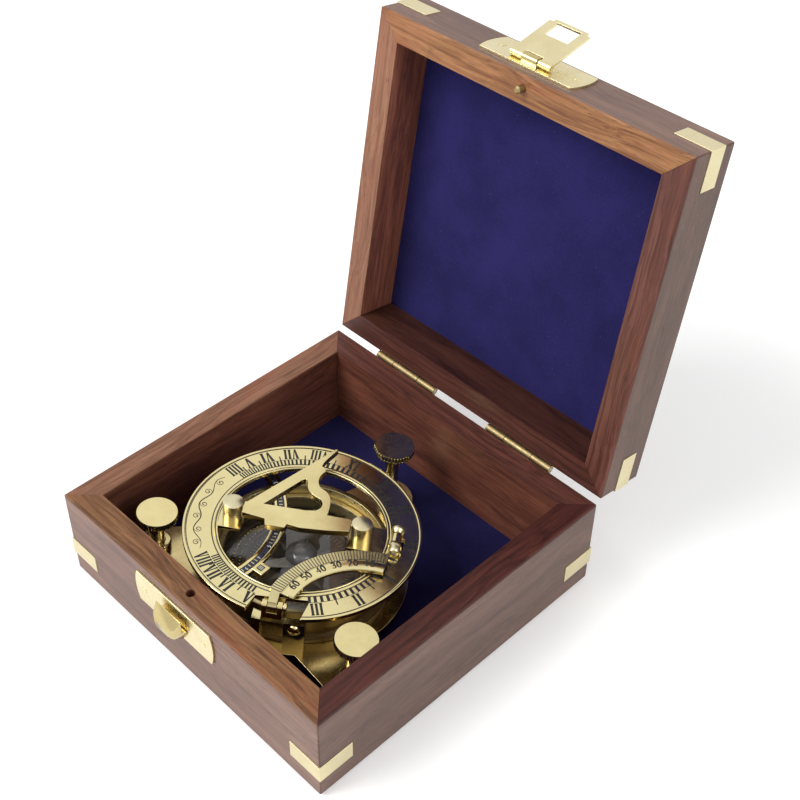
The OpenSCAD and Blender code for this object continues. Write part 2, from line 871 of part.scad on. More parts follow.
// Bracket on the drum's outside at XII; its eye passes up through the ring's slot
module ring_bracket() {
    x = ring_hinge_x;
    z = ring_hinge_z;
    color("goldenrod") on_instrument() difference() {
        union() {
            rotate([90, 0, 0])
                translate([0, 0, -eye_w])
                    linear_extrude(2 * eye_w) {
                        polygon([[drum_r, drum_top - 9], [x + 1.1, drum_top - 9],
                            [x + 1.1, drum_top - 1], [x - 1.2, z - 6.3], [x - 1.4, z - 3.6],
                            [x - 0.4, z - 2.7], [x + 1.1, z - 1.2], [x, z],
                            [x - 1.2, z + 1], [x - 2.5, z - 3.5], [x - 2.6, z - 6.4],
                            [drum_r, drum_top + 0.4]]);
                        translate([x, z])
                            circle(r = ear_r - 0.5);
                    }
            difference() {
                translate([drum_r - 1, -5, drum_top - 9])
                    cube([2.4, 10, 6.5]);
                translate([0, 0, 1])
                    cylinder(r = drum_r, h = drum_top, $fn = 96);
            }
        }
        translate([x, 5, z])
            rotate([90, 0, 0])
                cylinder(r = ring_pin_r + running, h = 10);
    }
}

module ring_hinge_pin() {
    half = eye_w + ear_gap + ear_len;
    color("silver") on_instrument()
        translate([ring_hinge_x, half, ring_hinge_z])
            rotate([90, 0, 0])
                cylinder(r = ring_pin_r, h = 2 * half);
}

// Forked clamp on the drum's side, which the unfolded arc passes through in use
module arc_clamp() {
    left = arc_hinge_x - clamp_slot / 2 - 0.4 - clamp_left;
    right = left + clamp_left + clamp_slot;
    out = drum_r + clamp_out;
    tall = drum_h - clamp_down;
    color("goldenrod") on_instrument() difference() {
        translate([0, -out, plate_thick]) {
            translate([left, 0, 0])
                cube([clamp_left, clamp_out + 2, tall]);
            translate([right, 0, 0])
                cube([clamp_right, clamp_out + 2, tall]);
            translate([left, clamp_out * 0.58, 0])
                cube([clamp_left + clamp_slot + clamp_right, clamp_out, tall - 2.6]);
        }
        translate([0, 0, plate_thick - 1])
            cylinder(r = drum_r + 0.02, h = tall + 3, $fn = 96);
        translate([0, 0, plate_thick - 1])
            cylinder(r = drum_r + foot_w + 0.02, h = 2.22, $fn = 96);
        translate([0, 0, plate_thick])
            cylinder(r = drum_r + foot_w * 0.5 + 0.02, h = 1.92, $fn = 96);
    }
}

module arc_clamp_screw() {
    middle = arc_hinge_x + clamp_slot / 2 - 0.4 + clamp_right / 2;
    color("gold") on_instrument()
        translate([middle, -drum_r - clamp_out, plate_thick + drum_h * 0.66])
            rotate([90, 0, 0])
                difference() {
                    small_dome(2.1, 1.2);
                    translate([-3, -0.25, 0.8])
                        cube([6, 0.5, 2]);
                }
}

module cross_scale() {
    far = 2 * cross_r;
    a = cross_a + cross_past / cross_r * 180 / PI;
    b = cross_b - 0.25 * cross_past / cross_r * 180 / PI;
    color("midnightblue") on_instrument()
        translate([cross_cx, cross_cy, drum_top + cross_up])
            linear_extrude(cross_t)
                intersection() {
                    difference() {
                        circle(r = cross_r + cross_w / 2, $fn = 128);
                        circle(r = cross_r - cross_w / 2, $fn = 128);
                    }
                    polygon([[0, 0], far * [cos(a), sin(a)], far * [1.2, 0], far * [cos(b), sin(b)]]);
                }
}

module cross_pillars() {
    color("gold") on_instrument()
        for (a = [cross_a, cross_b])
            translate([cross_cx + cross_r * cos(a), cross_cy + cross_r * sin(a), drum_top])
                cylinder(r = drum_t * 0.45, h = cross_up);
}

// Block that grips the outer edge of the scale
module cross_slider() {
    out = cross_r + cross_w / 2;
    color("khaki") on_instrument()
        translate([cross_cx, cross_cy, drum_top + cross_up])
            difference() {
                rotate([0, 0, slider_angle])
                    translate([out - slider_grip, -slider_w / 2, -slider_side])
                        cube([slider_w, slider_w, cross_t + 2 * slider_side]);
                translate([0, 0, -0.02])
                    cylinder(r = out + 0.02, h = cross_t + 0.04, $fn = 128);
            }
}

module needle() {
    color("white") on_instrument()
        rotate([0, 0, needle_turn])
            difference() {
                union() {
                    translate([0, 0, card_top + needle_up])
                        linear_extrude(needle_t)
                            polygon([[needle_len, 0], [needle_len * 0.25, needle_w],
                                [-needle_len * 0.25, needle_w], [-needle_len, 0],
                                [-needle_len * 0.25, -needle_w], [needle_len * 0.25, -needle_w]]);
                    translate([0, 0, card_top + needle_up - 0.3])
                        cylinder(r = cap_r, h = 1.6);
                }
                translate([0, 0, card_top])
                    cylinder(r = pivot_r + running, h = needle_up + 0.83);
            }
}

module ring_outline() {
    difference() {
        union() {
            difference() {
                circle(r = ring_r, $fn = 128);
                circle(r = ring_in, $fn = 128);
            }
            translate([tab_in, -tab_w])
                square([ring_in - tab_in + 2, 2 * tab_w]);
            translate([-ring_in - 2, -tab_w])
                square([ring_in + 2 - left_tab_in, 2 * tab_w]);
        }
        translate([arc_hinge_x + 2.4, 0])
            polygon([[-notch_wide / 2, -notch_in - 0.6], [notch_wide / 2, -notch_in + 0.8],
                [notch_wide / 2 - 2.4, -ring_r - 3], [-notch_wide / 2 - 3.6, -ring_r - 3]]);
        translate([ring_hinge_x - 3, -eye_w - 0.4])
            square([5.6, 2 * eye_w + 0.8]);
    }
}

module hour_ring() {
    color("khaki") on_instrument()
        translate([0, 0, ring_low])
            linear_extrude(ring_t)
                ring_outline();
}

// Two barrels of the ring's hinge, flat where they sit on the ring
module ring_barrels() {
    color("gold") on_instrument()
        for (s = [-1, 1])
            scale([1, s, 1])
                difference() {
                    translate([ring_hinge_x, eye_w + ear_gap, ring_hinge_z])
                        rotate([-90, 0, 0])
                            rotate_extrude()
                                polygon([[0, 0], [ear_r - 0.3, 0], [ear_r, 0.4],
                                    [ear_r, ear_len - 0.9], [ear_r - 0.3, ear_len - 0.4],
                                    [ear_r - 0.9, ear_len], [0, ear_len]]);
                    translate([ring_hinge_x - 5, 0, ring_top - 5])
                        cube([10, 12, 5]);
                    translate([ring_hinge_x, 0, ring_hinge_z])
                        rotate([-90, 0, 0])
                            cylinder(r = ring_pin_r + running, h = 20);
                }
}

module gnomon_posts() {
    color("gold") on_instrument()
        for (s = [-1, 1])
            translate([s < 0 ? -post_left : post_right, 0, 0])
                difference() {
                    translate([0, 0, ring_top]) {
                        cylinder(r = post_r, h = post_h);
                        translate([0, 0, post_h])
                            small_dome(post_r, post_dome);
                    }
                    translate([0, 0, gnomon_z])
                        rotate([0, -s * 90, 0])
                            cylinder(r = gnomon_pin_r + running, h = post_r + 1);
                    translate([0, 0, gnomon_z])
                        rotate([0, s * 90, 0])
                            cylinder(r = gnomon_pin_r + running, h = 1);
                }
}

// Fork in the ring's notch that carries the arc's pin
module arc_fork() {
    top = arc_pin_z;
    low = ring_low - 3.2;
    color("goldenrod") on_instrument() difference() {
        translate([arc_hinge_x - fork_half, 0, 0])
            rotate([90, 0, 90])
                linear_extrude(2 * fork_half) {
                    translate([-arc_hinge_y, top])
                        circle(r = tongue_r);
                    polygon([[-arc_hinge_y - tongue_r, top], [-arc_hinge_y - tongue_r, low],
                        [-notch_in + 2.2, low], [-notch_in + 2.2, ring_low], [-notch_in - 0.5, ring_low],
                        [-arc_hinge_y + tongue_r, top]]);
                }
        translate([arc_hinge_x - tongue_w / 2 - knuckle_gap, -arc_hinge_y - 4, top - tongue_r - 0.3])
            cube([tongue_w + 2 * knuckle_gap, 12, 6]);
        translate([arc_hinge_x - 10, -arc_hinge_y, top])
            rotate([0, 90, 0])
                cylinder(r = arc_pin_r + running, h = 20);
    }
}

module arc_pin() {
    color("gold") on_instrument()
        translate([arc_hinge_x - fork_half, -arc_hinge_y, arc_pin_z])
            rotate([0, 90, 0]) {
                cylinder(r = arc_pin_r, h = 2 * fork_half + 0.3);
                translate([0, 0, 2 * fork_half + 0.05])
                    cylinder(r = arc_pin_head, h = 1.2);
            }
}

// Outline of the standing gnomon, with its foot bar along X
module gnomon_outline() {
    left = -post_left + post_r + post_gap;
    right = post_right - post_r - post_gap;
    u = gnomon_tip / 33;
    tip = 33;
    difference() {
        union() {
            scale([u, u, 1]) polygon(concat([[left / u, 0], [left / u + 0.4, 1.2]], [[4.6, tip], [5.4, tip - 0.2]],
                curve([5.4, tip - 0.2], [3.6, tip - 4], [1.6, tip - 7], [1.6, tip - 9.4]),
                curve([1.6, tip - 9.4], [3, tip - 9.8], [3.4, tip - 11.2], [3.1, tip - 11.9], 5),
                curve([3.1, tip - 11.9], [1.2, tip - 14], [1.1, tip - 19], [4.2, tip - 20.2]),
                curve([4.2, tip - 20.2], [7.4, tip - 22], [7.9, tip - 26], [7.4, 2]),
                [[7.4, 0]]));
            polygon([[left, 1.6], [left, 0.2 - bar_w], [-12.6 * u, -0.8 - bar_w], [-11.9 * u, -0.9 - bar_w],
                [-11.3 * u, -lug_out], [-4.9 * u, -lug_out], [-4.4 * u, -1.7 - bar_w], [-0.3 * u, -2.3 - bar_w],
                [8 * u, -1.5 - bar_w], [right, -0.2 - bar_w], [right, 1.6]]);
        }
        scale([u, u, 1]) polygon(concat([[-13.6, 1.9], [-3.6, 15.6]],
            curve([-3.6, 15.6], [-2.6, 16.8], [-1.8, 16.4], [-1.6, 14.6], 5),
            curve([-1.6, 14.6], [-1.2, 11], [0.6, 9.8], [3, 8.8]),
            curve([3, 8.8], [5.6, 7.4], [5.6, 4.2], [3.2, 2.8]),
            [[0, 2.1]]));
    }
}

module gnomon() {
    left = -post_left + post_r + post_gap;
    right = post_right - post_r - post_gap;
    color("gold") on_instrument()
        translate([0, 0, gnomon_z]) {
            translate([0, 0, -gnomon_t / 2])
                linear_extrude(gnomon_t)
                    gnomon_outline();
            translate([left - 2.6, 0, 0])
                rotate([0, 90, 0])
                    cylinder(r = gnomon_pin_r, h = right - left + 5.2);
            translate([-11.3 * gnomon_tip / 33, -bar_w, 0.4 - gnomon_up])
                cube([6.4 * gnomon_tip / 33, bar_w * 0.6, gnomon_up - 0.4 - gnomon_t / 2 + eps]);
        }
}

// Curved latitude scale, folded down over the ring, with a tongue on its pin
module latitude_arc() {
    far = 1.6 * arc_r;
    a0 = 180 - arc_foot;
    a1 = 83.5;
    color("khaki") on_instrument() difference() {
        union() {
            translate([arc_cx, -arc_cy, arc_z])
                linear_extrude(arc_t)
                    intersection() {
                        difference() {
                            circle(r = arc_r, $fn = 128);
                            circle(r = arc_r - arc_w, $fn = 128);
                        }
                        polygon([[0, 0], far * [cos(a0), sin(a0)], far * [cos(a0 - 35), sin(a0 - 35)],
                            far * [cos(a1), sin(a1)]]);
                    }
            translate([arc_hinge_x - tongue_w / 2, -arc_hinge_y, 0]) {
                translate([0, 0, arc_pin_z])
                    rotate([0, 90, 0])
                        cylinder(r = tongue_r, h = tongue_w);
                rotate([90, 0, 90])
                    linear_extrude(tongue_w)
                        polygon([[-tongue_r, arc_pin_z], [0.2, arc_pin_z - 0.2], [1.6, arc_z],
                            [5.6, arc_z], [5.6, arc_z + arc_t], [-0.6, arc_z + arc_t]]);
            }
        }
        translate([arc_hinge_x - 10, -arc_hinge_y, arc_pin_z])
            rotate([0, 90, 0])
                cylinder(r = arc_pin_r + running, h = 20);
    }
}

// A levelling screw in the lobe at angle a, standing on the felt
module level_screw(a) {
    top = screw_len - shank_r;
    on_instrument()
        rotate([0, 0, a])
            translate([screw_at, 0, tip_z(a)]) {
                sphere(r = shank_r);
                cylinder(r = shank_r, h = top - head_h);
                translate([0, 0, top - head_h])
                    rotate_extrude()
                        polygon([[0, 0], [head_r - 1.3, 0], [head_r - 0.5, 0.6], [head_r, 1.2],
                            [head_r, head_h - 0.9], [head_r - 0.3, head_h - 0.3],
                            [head_r - 1, head_h], [0, head_h]]);
            }
}

module level_screw_back() {
    color("gold") level_screw(lobe_angles[0]);
}

module level_screw_left() {
    color("gold") level_screw(lobe_angles[1]);
}

module level_screw_right() {
    color("gold") level_screw(lobe_angles[2]);
}

wall_front();
wall_back();
wall_left();
wall_right();
floor_board();
base_felt();
base_inlay();
catch_plate();
catch_dome();
catch_rivets();
base_hinge_leaves();
base_hinge_screws();
lid_front();
lid_back();
lid_left();
lid_right();
lid_board();
lid_felt();
lid_inlay();
lid_peg();
latch_plate();
latch_rivets();
lid_hinge_leaves();
hinge_pins();
lid_hinge_screws();
hasp_pin();
hasp();
base_plate();
drum();
compass_card();
pivot();
glass();
bezel();
ring_bracket();
ring_hinge_pin();
arc_clamp();
arc_clamp_screw();
cross_scale();
cross_pillars();
cross_slider();
needle();
hour_ring();
ring_barrels();
gnomon_posts();
arc_fork();
arc_pin();
gnomon();
latitude_arc();
level_screw_back();
level_screw_left();
level_screw_right();
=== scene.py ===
import json
import bmesh
import bpy
import numpy as np
from mathutils import Matrix, Vector


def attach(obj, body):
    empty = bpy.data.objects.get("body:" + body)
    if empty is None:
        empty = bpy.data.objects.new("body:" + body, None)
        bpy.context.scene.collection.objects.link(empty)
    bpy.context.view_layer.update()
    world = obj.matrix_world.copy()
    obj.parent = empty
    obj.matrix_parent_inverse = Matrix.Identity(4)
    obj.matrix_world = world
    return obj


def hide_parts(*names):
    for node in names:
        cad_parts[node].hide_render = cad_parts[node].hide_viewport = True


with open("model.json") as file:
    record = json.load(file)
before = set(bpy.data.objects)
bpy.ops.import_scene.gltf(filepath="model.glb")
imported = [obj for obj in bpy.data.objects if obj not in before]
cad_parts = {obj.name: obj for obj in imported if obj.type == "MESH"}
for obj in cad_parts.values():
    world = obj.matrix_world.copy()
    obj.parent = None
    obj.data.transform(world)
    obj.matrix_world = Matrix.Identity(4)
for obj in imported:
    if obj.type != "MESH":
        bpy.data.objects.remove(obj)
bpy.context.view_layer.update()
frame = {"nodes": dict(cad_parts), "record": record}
nodes = frame["nodes"]
print("frame loaded:", len(nodes), "nodes")

# places
millimetre = 0.001
# degrees and millimetres
standing = {"noon": 37, "leanFrom": 30, "lean": 5, "centre": (-0.7, -13.7046, 9.13281)}
opening = {"angle": 99.4, "axisY": 62.15, "axisZ": 36.8, "rimGap": 0.3}


def turnAbout(axis, degrees):
    return np.array(Matrix.Rotation(np.radians(degrees), 3, axis))


instrumentTurn = (turnAbout("Z", standing["noon"] + standing["leanFrom"])
                  @ turnAbout("Y", standing["lean"]) @ turnAbout("Z", -standing["leanFrom"]))
instrumentPlace = np.array(standing["centre"])
lidTurn = turnAbout("X", -opening["angle"])
lidAxis = np.array([0, opening["axisY"], opening["axisZ"]])


def toInstrument(points):
    # instrument's own place: turned, leaned, then set down in the case
    return np.asarray(points) @ instrumentTurn.T + instrumentPlace


def toLid(points):
    # closed lid, heights from its rim, swung open about the hinge pins
    raised = np.asarray(points) + [0, 0, lidAxis[2] + opening["rimGap"]]
    return (raised - lidAxis) @ lidTurn.T + lidAxis


def addObject(name, data):
    added = bpy.data.objects.new(name, data)
    bpy.context.collection.objects.link(added)
    return added


# camera and light
cameraValues = {"place": (0.2334, -0.2036, 0.3635), "azimuth": 46.065, "elevation": 42.479, "roll": 0.067,
                "lens": 61.98, "sensor": 36, "nearest": 0.02, "shiftX": 0.0292, "shiftY": 0.0004}


def makeCamera(v):
    az, el = np.radians(v["azimuth"]), np.radians(v["elevation"])
    back = [np.sin(az) * np.cos(el), -np.cos(az) * np.cos(el), np.sin(el)]
    right = [np.cos(az), np.sin(az), 0]
    up = [-np.sin(az) * np.sin(el), np.cos(az) * np.sin(el), np.cos(el)]
    data = bpy.data.cameras.new("photoCamera")
    data.lens, data.sensor_width, data.clip_start = v["lens"], v["sensor"], v["nearest"]
    data.shift_x, data.shift_y = v["shiftX"], v["shiftY"]
    camera = addObject("photoCamera", data)
    rolled = Matrix.Rotation(np.radians(v["roll"]), 4, "Z")
    pose = Matrix(np.array([right, up, back]).T.tolist()).to_4x4() @ rolled
    pose.translation = v["place"]
    camera.matrix_world = pose
    bpy.context.scene.camera = camera


makeCamera(cameraValues)
bpy.context.scene.view_settings.view_transform = "Standard"

# metres and watts
lampValues = [
    {"name": "keyLamp", "place": (-0.55, -0.95, 1.25), "aim": (0, 0, 0.05), "size": 0.9, "power": 22},
    {"name": "sideLamp", "place": (1.1, 0.2, 0.9), "aim": (0, 0, 0.05), "size": 0.8, "power": 7},
]


def makeLamp(v):
    data = bpy.data.lights.new(v["name"], "AREA")
    data.size, data.energy = v["size"], v["power"]
    lamp = addObject(v["name"], data)
    away = np.array(v["place"]) - v["aim"]
    aimed = Vector(away.tolist()).to_track_quat("Z", "Y").to_matrix().to_4x4()
    lamp.matrix_world = Matrix.Translation(v["place"]) @ aimed


for values in lampValues:
    makeLamp(values)


# node helpers
def feed(tree, node, values):
    # pairs of a socket and what it gets: another node's output or a constant
    for socket, value in values:
        if isinstance(value, bpy.types.NodeSocket):
            tree.links.new(value, node.inputs[socket])
        else:
            node.inputs[socket].default_value = value


def put(tree, kind, values=(), **settings):
    node = tree.nodes.new(kind)
    for key, value in settings.items():
        setattr(node, key, value)
    feed(tree, node, values)
    return node


def startGroup(name, **numbers):
    # a group that is given a vector and some numbers
    group = bpy.data.node_groups.new(name, "ShaderNodeTree")
    group.interface.new_socket("Vector", in_out="INPUT", socket_type="NodeSocketVector")
    for label, value in numbers.items():
        group.interface.new_socket(label, in_out="INPUT", socket_type="NodeSocketFloat").default_value = value
    return group, group.nodes.new("NodeGroupInput").outputs


def endGroup(group, **results):
    for label in results:
        group.interface.new_socket(label, in_out="OUTPUT", socket_type="NodeSocketFloat")
    out = group.nodes.new("NodeGroupOutput").inputs
    for label, value in results.items():
        group.links.new(value, out[label])
    return group


def noiseOf(tree, vector, stretch, scale, detail=3, rough=0.55, distortion=0.0):
    # noise on a stretched copy of the vector, about 0 to 1
    scaled = put(tree, "ShaderNodeVectorMath", [(0, vector), (1, stretch)], operation="MULTIPLY").outputs[0]
    return put(tree, "ShaderNodeTexNoise", [("Vector", scaled), ("Scale", scale), ("Detail", detail),
                                            ("Roughness", rough), ("Distortion", distortion)]).outputs["Fac"]


def fit(tree, value, low, high, toLow=0.0, toHigh=1.0):
    return put(tree, "ShaderNodeMapRange", [("Value", value), ("From Min", low), ("From Max", high),
                                            ("To Min", toLow), ("To Max", toHigh)]).outputs[0]


def sums(tree, operation, a, b=0.0, c=0.0):
    return put(tree, "ShaderNodeMath", [(0, a), (1, b), (2, c)], operation=operation).outputs[0]


def blendColour(tree, factor, a, b):
    # a and b are sockets or plain red, green and blue
    a, b = (colour if isinstance(colour, bpy.types.NodeSocket) else (*colour, 1) for colour in (a, b))
    return put(tree, "ShaderNodeMix", [(0, factor), (6, a), (7, b)], data_type="RGBA").outputs[2]


def useGroup(tree, group, vector):
    return put(tree, "ShaderNodeGroup", [("Vector", vector)], node_tree=group)


def radiusOf(tree, vector):
    # distance from the vector's Z axis
    flat = put(tree, "ShaderNodeVectorMath", [(0, vector), (1, (1, 1, 0))], operation="MULTIPLY").outputs[0]
    return put(tree, "ShaderNodeVectorMath", [(0, flat)], operation="LENGTH").outputs["Value"]


def makeWoodGrain():
    # streaks along X of the vector (millimetres): broad figure, ribbon streaks, fine lines and slim pores,
    # all carried aside by a slow sway
    group, given = startGroup("woodGrain")
    wander = noiseOf(group, given["Vector"], (0.35, 1, 1), scale=0.045, detail=2, rough=0.5)
    sway = sums(group, "MULTIPLY_ADD", wander, 11.0, -5.5)
    swayed = put(group, "ShaderNodeCombineXYZ", [("Y", sway), ("Z", sway)]).outputs[0]
    place = put(group, "ShaderNodeVectorMath", [(0, given["Vector"]), (1, swayed)], operation="ADD").outputs[0]
    broad = noiseOf(group, place, (0.10, 1, 1), scale=0.10, detail=4, rough=0.6, distortion=0.8)
    ribbons = noiseOf(group, place, (0.030, 1, 1), scale=0.62, detail=4, rough=0.6, distortion=0.5)
    lines = noiseOf(group, place, (0.025, 1, 1), scale=1.3, detail=3, rough=0.65, distortion=0.2)
    fine = noiseOf(group, place, (0.02, 1, 1), scale=4.0, detail=2, rough=0.6)
    pores = fit(group, noiseOf(group, place, (0.05, 1, 1), scale=3.4, detail=1, rough=0.5), 0.62, 0.74)

    def mixed(first, firstShare, second, secondShare, fineShare):
        rest = sums(group, "MULTIPLY_ADD", second, secondShare, sums(group, "MULTIPLY", fine, fineShare))
        return sums(group, "MULTIPLY_ADD", first, firstShare, rest)

    figure = mixed(fit(group, broad, 0.3, 0.7), 0.45, fit(group, lines, 0.3, 0.7), 0.35, 0.2)
    streaks = mixed(fit(group, ribbons, 0.38, 0.62), 0.55, fit(group, lines, 0.36, 0.64), 0.35, 0.1)
    height = sums(group, "SUBTRACT", sums(group, "MULTIPLY", fine, 0.5), pores)
    return endGroup(group, Figure=figure, Streaks=streaks, Pores=pores, Height=height)


def makeMetalMarks():
    # handling marks on metal: soft tarnish clouds, dark flecks, rubbed patches and hair scratches
    group, given = startGroup("metalMarks", Size=1.0)
    scaled = put(group, "ShaderNodeVectorMath", [(0, given["Vector"]), ("Scale", given["Size"])],
                 operation="SCALE").outputs[0]
    cloud = noiseOf(group, scaled, (1, 1, 1), scale=0.10, detail=4, rough=0.55, distortion=0.4)
    flecks = noiseOf(group, scaled, (1, 1, 1), scale=1.7, detail=3, rough=0.65)
    rub = noiseOf(group, scaled, (1, 1, 1), scale=0.35, detail=4, rough=0.65)
    scratch = noiseOf(group, scaled, (6, 0.4, 2), scale=0.9, detail=3, rough=0.7, distortion=0.5)
    return endGroup(group, Tarnish=fit(group, cloud, 0.35, 0.72), Flecks=fit(group, flecks, 0.62, 0.74), Rub=rub,
                    Height=scratch)


def makeTurnedMarks():
    # rings left by a lathe about the vector's Z axis: noise of the radius plus a share of the height
    group, given = startGroup("turnedMarks", Pitch=6.0)
    radius = radiusOf(group, given["Vector"])
    height = put(group, "ShaderNodeSeparateXYZ", [(0, given["Vector"])]).outputs["Z"]
    along = sums(group, "ADD", radius, sums(group, "MULTIPLY", height, 0.7))
    place = sums(group, "MULTIPLY", along, given["Pitch"])
    rings = put(group, "ShaderNodeTexNoise", [("W", place), ("Scale", 1.0), ("Detail", 2.0)],
                noise_dimensions="1D").outputs["Fac"]
    return endGroup(group, Rings=rings)


def makeFeltNap():
    # pressed fibre: clouded tone, fine nap and scattered pale lint
    group, given = startGroup("feltNap")
    cloud = fit(group, noiseOf(group, given["Vector"], (1, 1, 1), scale=0.05, detail=4, rough=0.6), 0.3, 0.7)
    nap = noiseOf(group, given["Vector"], (1, 1, 1), scale=2.2, detail=3, rough=0.75)
    cells = put(group, "ShaderNodeTexVoronoi", [("Vector", given["Vector"]), ("Scale", 0.32), ("Randomness", 1.0)])
    lint = fit(group, cells.outputs["Distance"], 0.05, 0.03)
    tone = sums(group, "MULTIPLY_ADD", cloud, 0.35, sums(group, "MULTIPLY", nap, 0.65))
    return endGroup(group, Tone=tone, Lint=lint, Height=sums(group, "ADD", nap, lint))


woodGrain, metalMarks, turnedMarks, feltNap = makeWoodGrain(), makeMetalMarks(), makeTurnedMarks(), makeFeltNap()


# turn and shift from object coordinates (millimetres) to the directions a piece was made in
plain = (np.eye(3), (0, 0, 0))
ownLid = (lidTurn.T, lidAxis - lidTurn.T @ lidAxis - [0, 0, lidAxis[2] + opening["rimGap"]])
ownInstrument = (instrumentTurn.T, -instrumentTurn.T @ instrumentPlace)


def startMaterial(name, turn, shift):
    material = bpy.data.materials.new(name)
    material.use_nodes = True
    tree = material.node_tree
    shader = tree.nodes["Principled BSDF"]
    coords = put(tree, "ShaderNodeTexCoord").outputs["Object"]
    euler = Matrix(np.asarray(turn).tolist()).to_euler("XYZ")
    own = put(tree, "ShaderNodeMapping", [("Vector", coords), ("Scale", (1000, 1000, 1000)),
                                          ("Rotation", tuple(euler)), ("Location", tuple(shift))]).outputs[0]
    return material, tree, shader, own


def useBump(tree, shader, height, strength, distance):
    bump = put(tree, "ShaderNodeBump", [("Height", height), ("Strength", strength), ("Distance", distance)])
    feed(tree, shader, [("Normal", bump.outputs[0])])


# sides to lidRim: millimetres between which the look changes towards an outer face or a rim;
# walls: rim streaks from deep to light, then how light the inner faces are, then how light the outer faces are painted,
# as painted light and shade by side: the front lighter, the right darker
woodValues = {
    "sides": (61.2, 61.6), "ends": (60.4, 60.9), "caseBottom": (0.7, 0.3), "lidTop": (19.8, 20.2),
    "caseRim": (35.5, 36.3), "lidRim": (1.0, 0.2),
    "deep": (0.060, 0.020, 0.014), "middle": (0.160, 0.056, 0.033), "ruddy": (0.200, 0.055, 0.028),
    # outSheenDeep and outSheenLight: colours of the outer faces, lighter and greyer than the wood within, as painted
    # sheen of the varnish
    "outSheenDeep": (0.100, 0.056, 0.046), "outSheenLight": (0.250, 0.150, 0.115), "pore": (0.020, 0.008, 0.006),
    "poreShare": 0.5, "ruddyShare": 0.45, "ruddyTone": 0.45, "rough": (0.38, 0.52), "specular": 0.22,
    "coat": 0.04, "coatRough": 0.3, "bump": (0.4, 0.00006),
    "walls": {
        "wall_front": ((0.062, 0.023, 0.010), (0.275, 0.132, 0.058), 1.0, 1.18),
        "wall_back": ((0.034, 0.010, 0.008), (0.140, 0.048, 0.034), 1.4, 1.0),
        "wall_left": ((0.110, 0.044, 0.024), (0.290, 0.140, 0.082), 1.1, 1.0),
        "wall_right": ((0.018, 0.005, 0.004), (0.090, 0.024, 0.017), 1.2, 0.80),
        "lid_front": ((0.120, 0.040, 0.014), (0.420, 0.200, 0.085), 1.0, 1.0),
        "lid_back": ((0.026, 0.008, 0.006), (0.120, 0.038, 0.028), 0.5, 1.0),
        "lid_left": ((0.170, 0.064, 0.034), (0.350, 0.170, 0.100), 2.4, 1.0),
        "lid_right": ((0.045, 0.013, 0.010), (0.180, 0.066, 0.048), 1.0, 0.70),
    },
}


def tinted(colour, factor):
    return tuple(factor * channel for channel in colour)


def makeWood(name, lid, alongY, tone, v=woodValues):
    # the last number of a wall's tone paints light and shade on its outer faces: lighter on the front, darker on the
    # right
    rimDeep, rimLight, innerTone, outerLightAndShade = tone
    material, tree, shader, own = startMaterial(name, *(ownLid if lid else plain))
    axes = put(tree, "ShaderNodeSeparateXYZ", [(0, own)]).outputs
    order = "YXZ" if alongY else "XYZ"
    along = put(tree, "ShaderNodeCombineXYZ", [(to, axes[axis]) for to, axis in zip("XYZ", order)]).outputs[0]
    grain = useGroup(tree, woodGrain, along)
    figure, pores, streaks = (grain.outputs[key] for key in ("Figure", "Pores", "Streaks"))
    inner = blendColour(tree, fit(tree, figure, 0.3, 0.7), tinted(v["deep"], innerTone), tinted(v["middle"], innerTone))
    # outer faces take painted sheen: a lighter, greyer colour than the wood within
    outer = blendColour(tree, fit(tree, figure, 0.2, 0.8),
                        tinted(v["outSheenDeep"], outerLightAndShade), tinted(v["outSheenLight"], outerLightAndShade))
    rim = blendColour(tree, streaks, rimDeep, rimLight)
    outside = sums(tree, "MAXIMUM", fit(tree, sums(tree, "ABSOLUTE", axes["X"]), *v["sides"]),
                   fit(tree, sums(tree, "ABSOLUTE", axes["Y"]), *v["ends"]))
    outside = sums(tree, "MAXIMUM", outside, fit(tree, axes["Z"], *v["lidTop" if lid else "caseBottom"]))
    rimMask = fit(tree, axes["Z"], *v["lidRim" if lid else "caseRim"])
    colour = blendColour(tree, rimMask, blendColour(tree, outside, inner, outer), rim)
    patches = noiseOf(tree, along, (0.16, 1, 1), scale=0.16, detail=3, rough=0.6, distortion=0.4)
    patches = fit(tree, patches, 0.52, 0.70, 0.0, v["ruddyShare"])
    ruddy = tinted(v["ruddy"], sum(rimLight) / v["ruddyTone"])
    colour = blendColour(tree, sums(tree, "MULTIPLY", patches, rimMask), colour, ruddy)
    colour = blendColour(tree, sums(tree, "MULTIPLY", pores, v["poreShare"]), colour, v["pore"])
    feed(tree, shader, [("Base Color", colour), ("Roughness", fit(tree, figure, 0, 1, *v["rough"])),
                        ("Specular IOR Level", v["specular"]), ("Coat Weight", v["coat"]),
                        ("Coat Roughness", v["coatRough"])])
    useBump(tree, shader, grain.outputs["Height"], *v["bump"])
    return material


# turned, bump and worn tell how strong the lathe's rings, the relief and the tarnish of a metal are
# outside: radii over which the drum's outer wall turns to painted shade
metalValues = {"outside": (28.6, 29.2), "upright": (0.9, 0.4), "paintedSideShare": 0.85, "fleckTone": 0.6,
               "roughLow": 0.8, "roughHigh": 1.3, "relief": 0.00003}


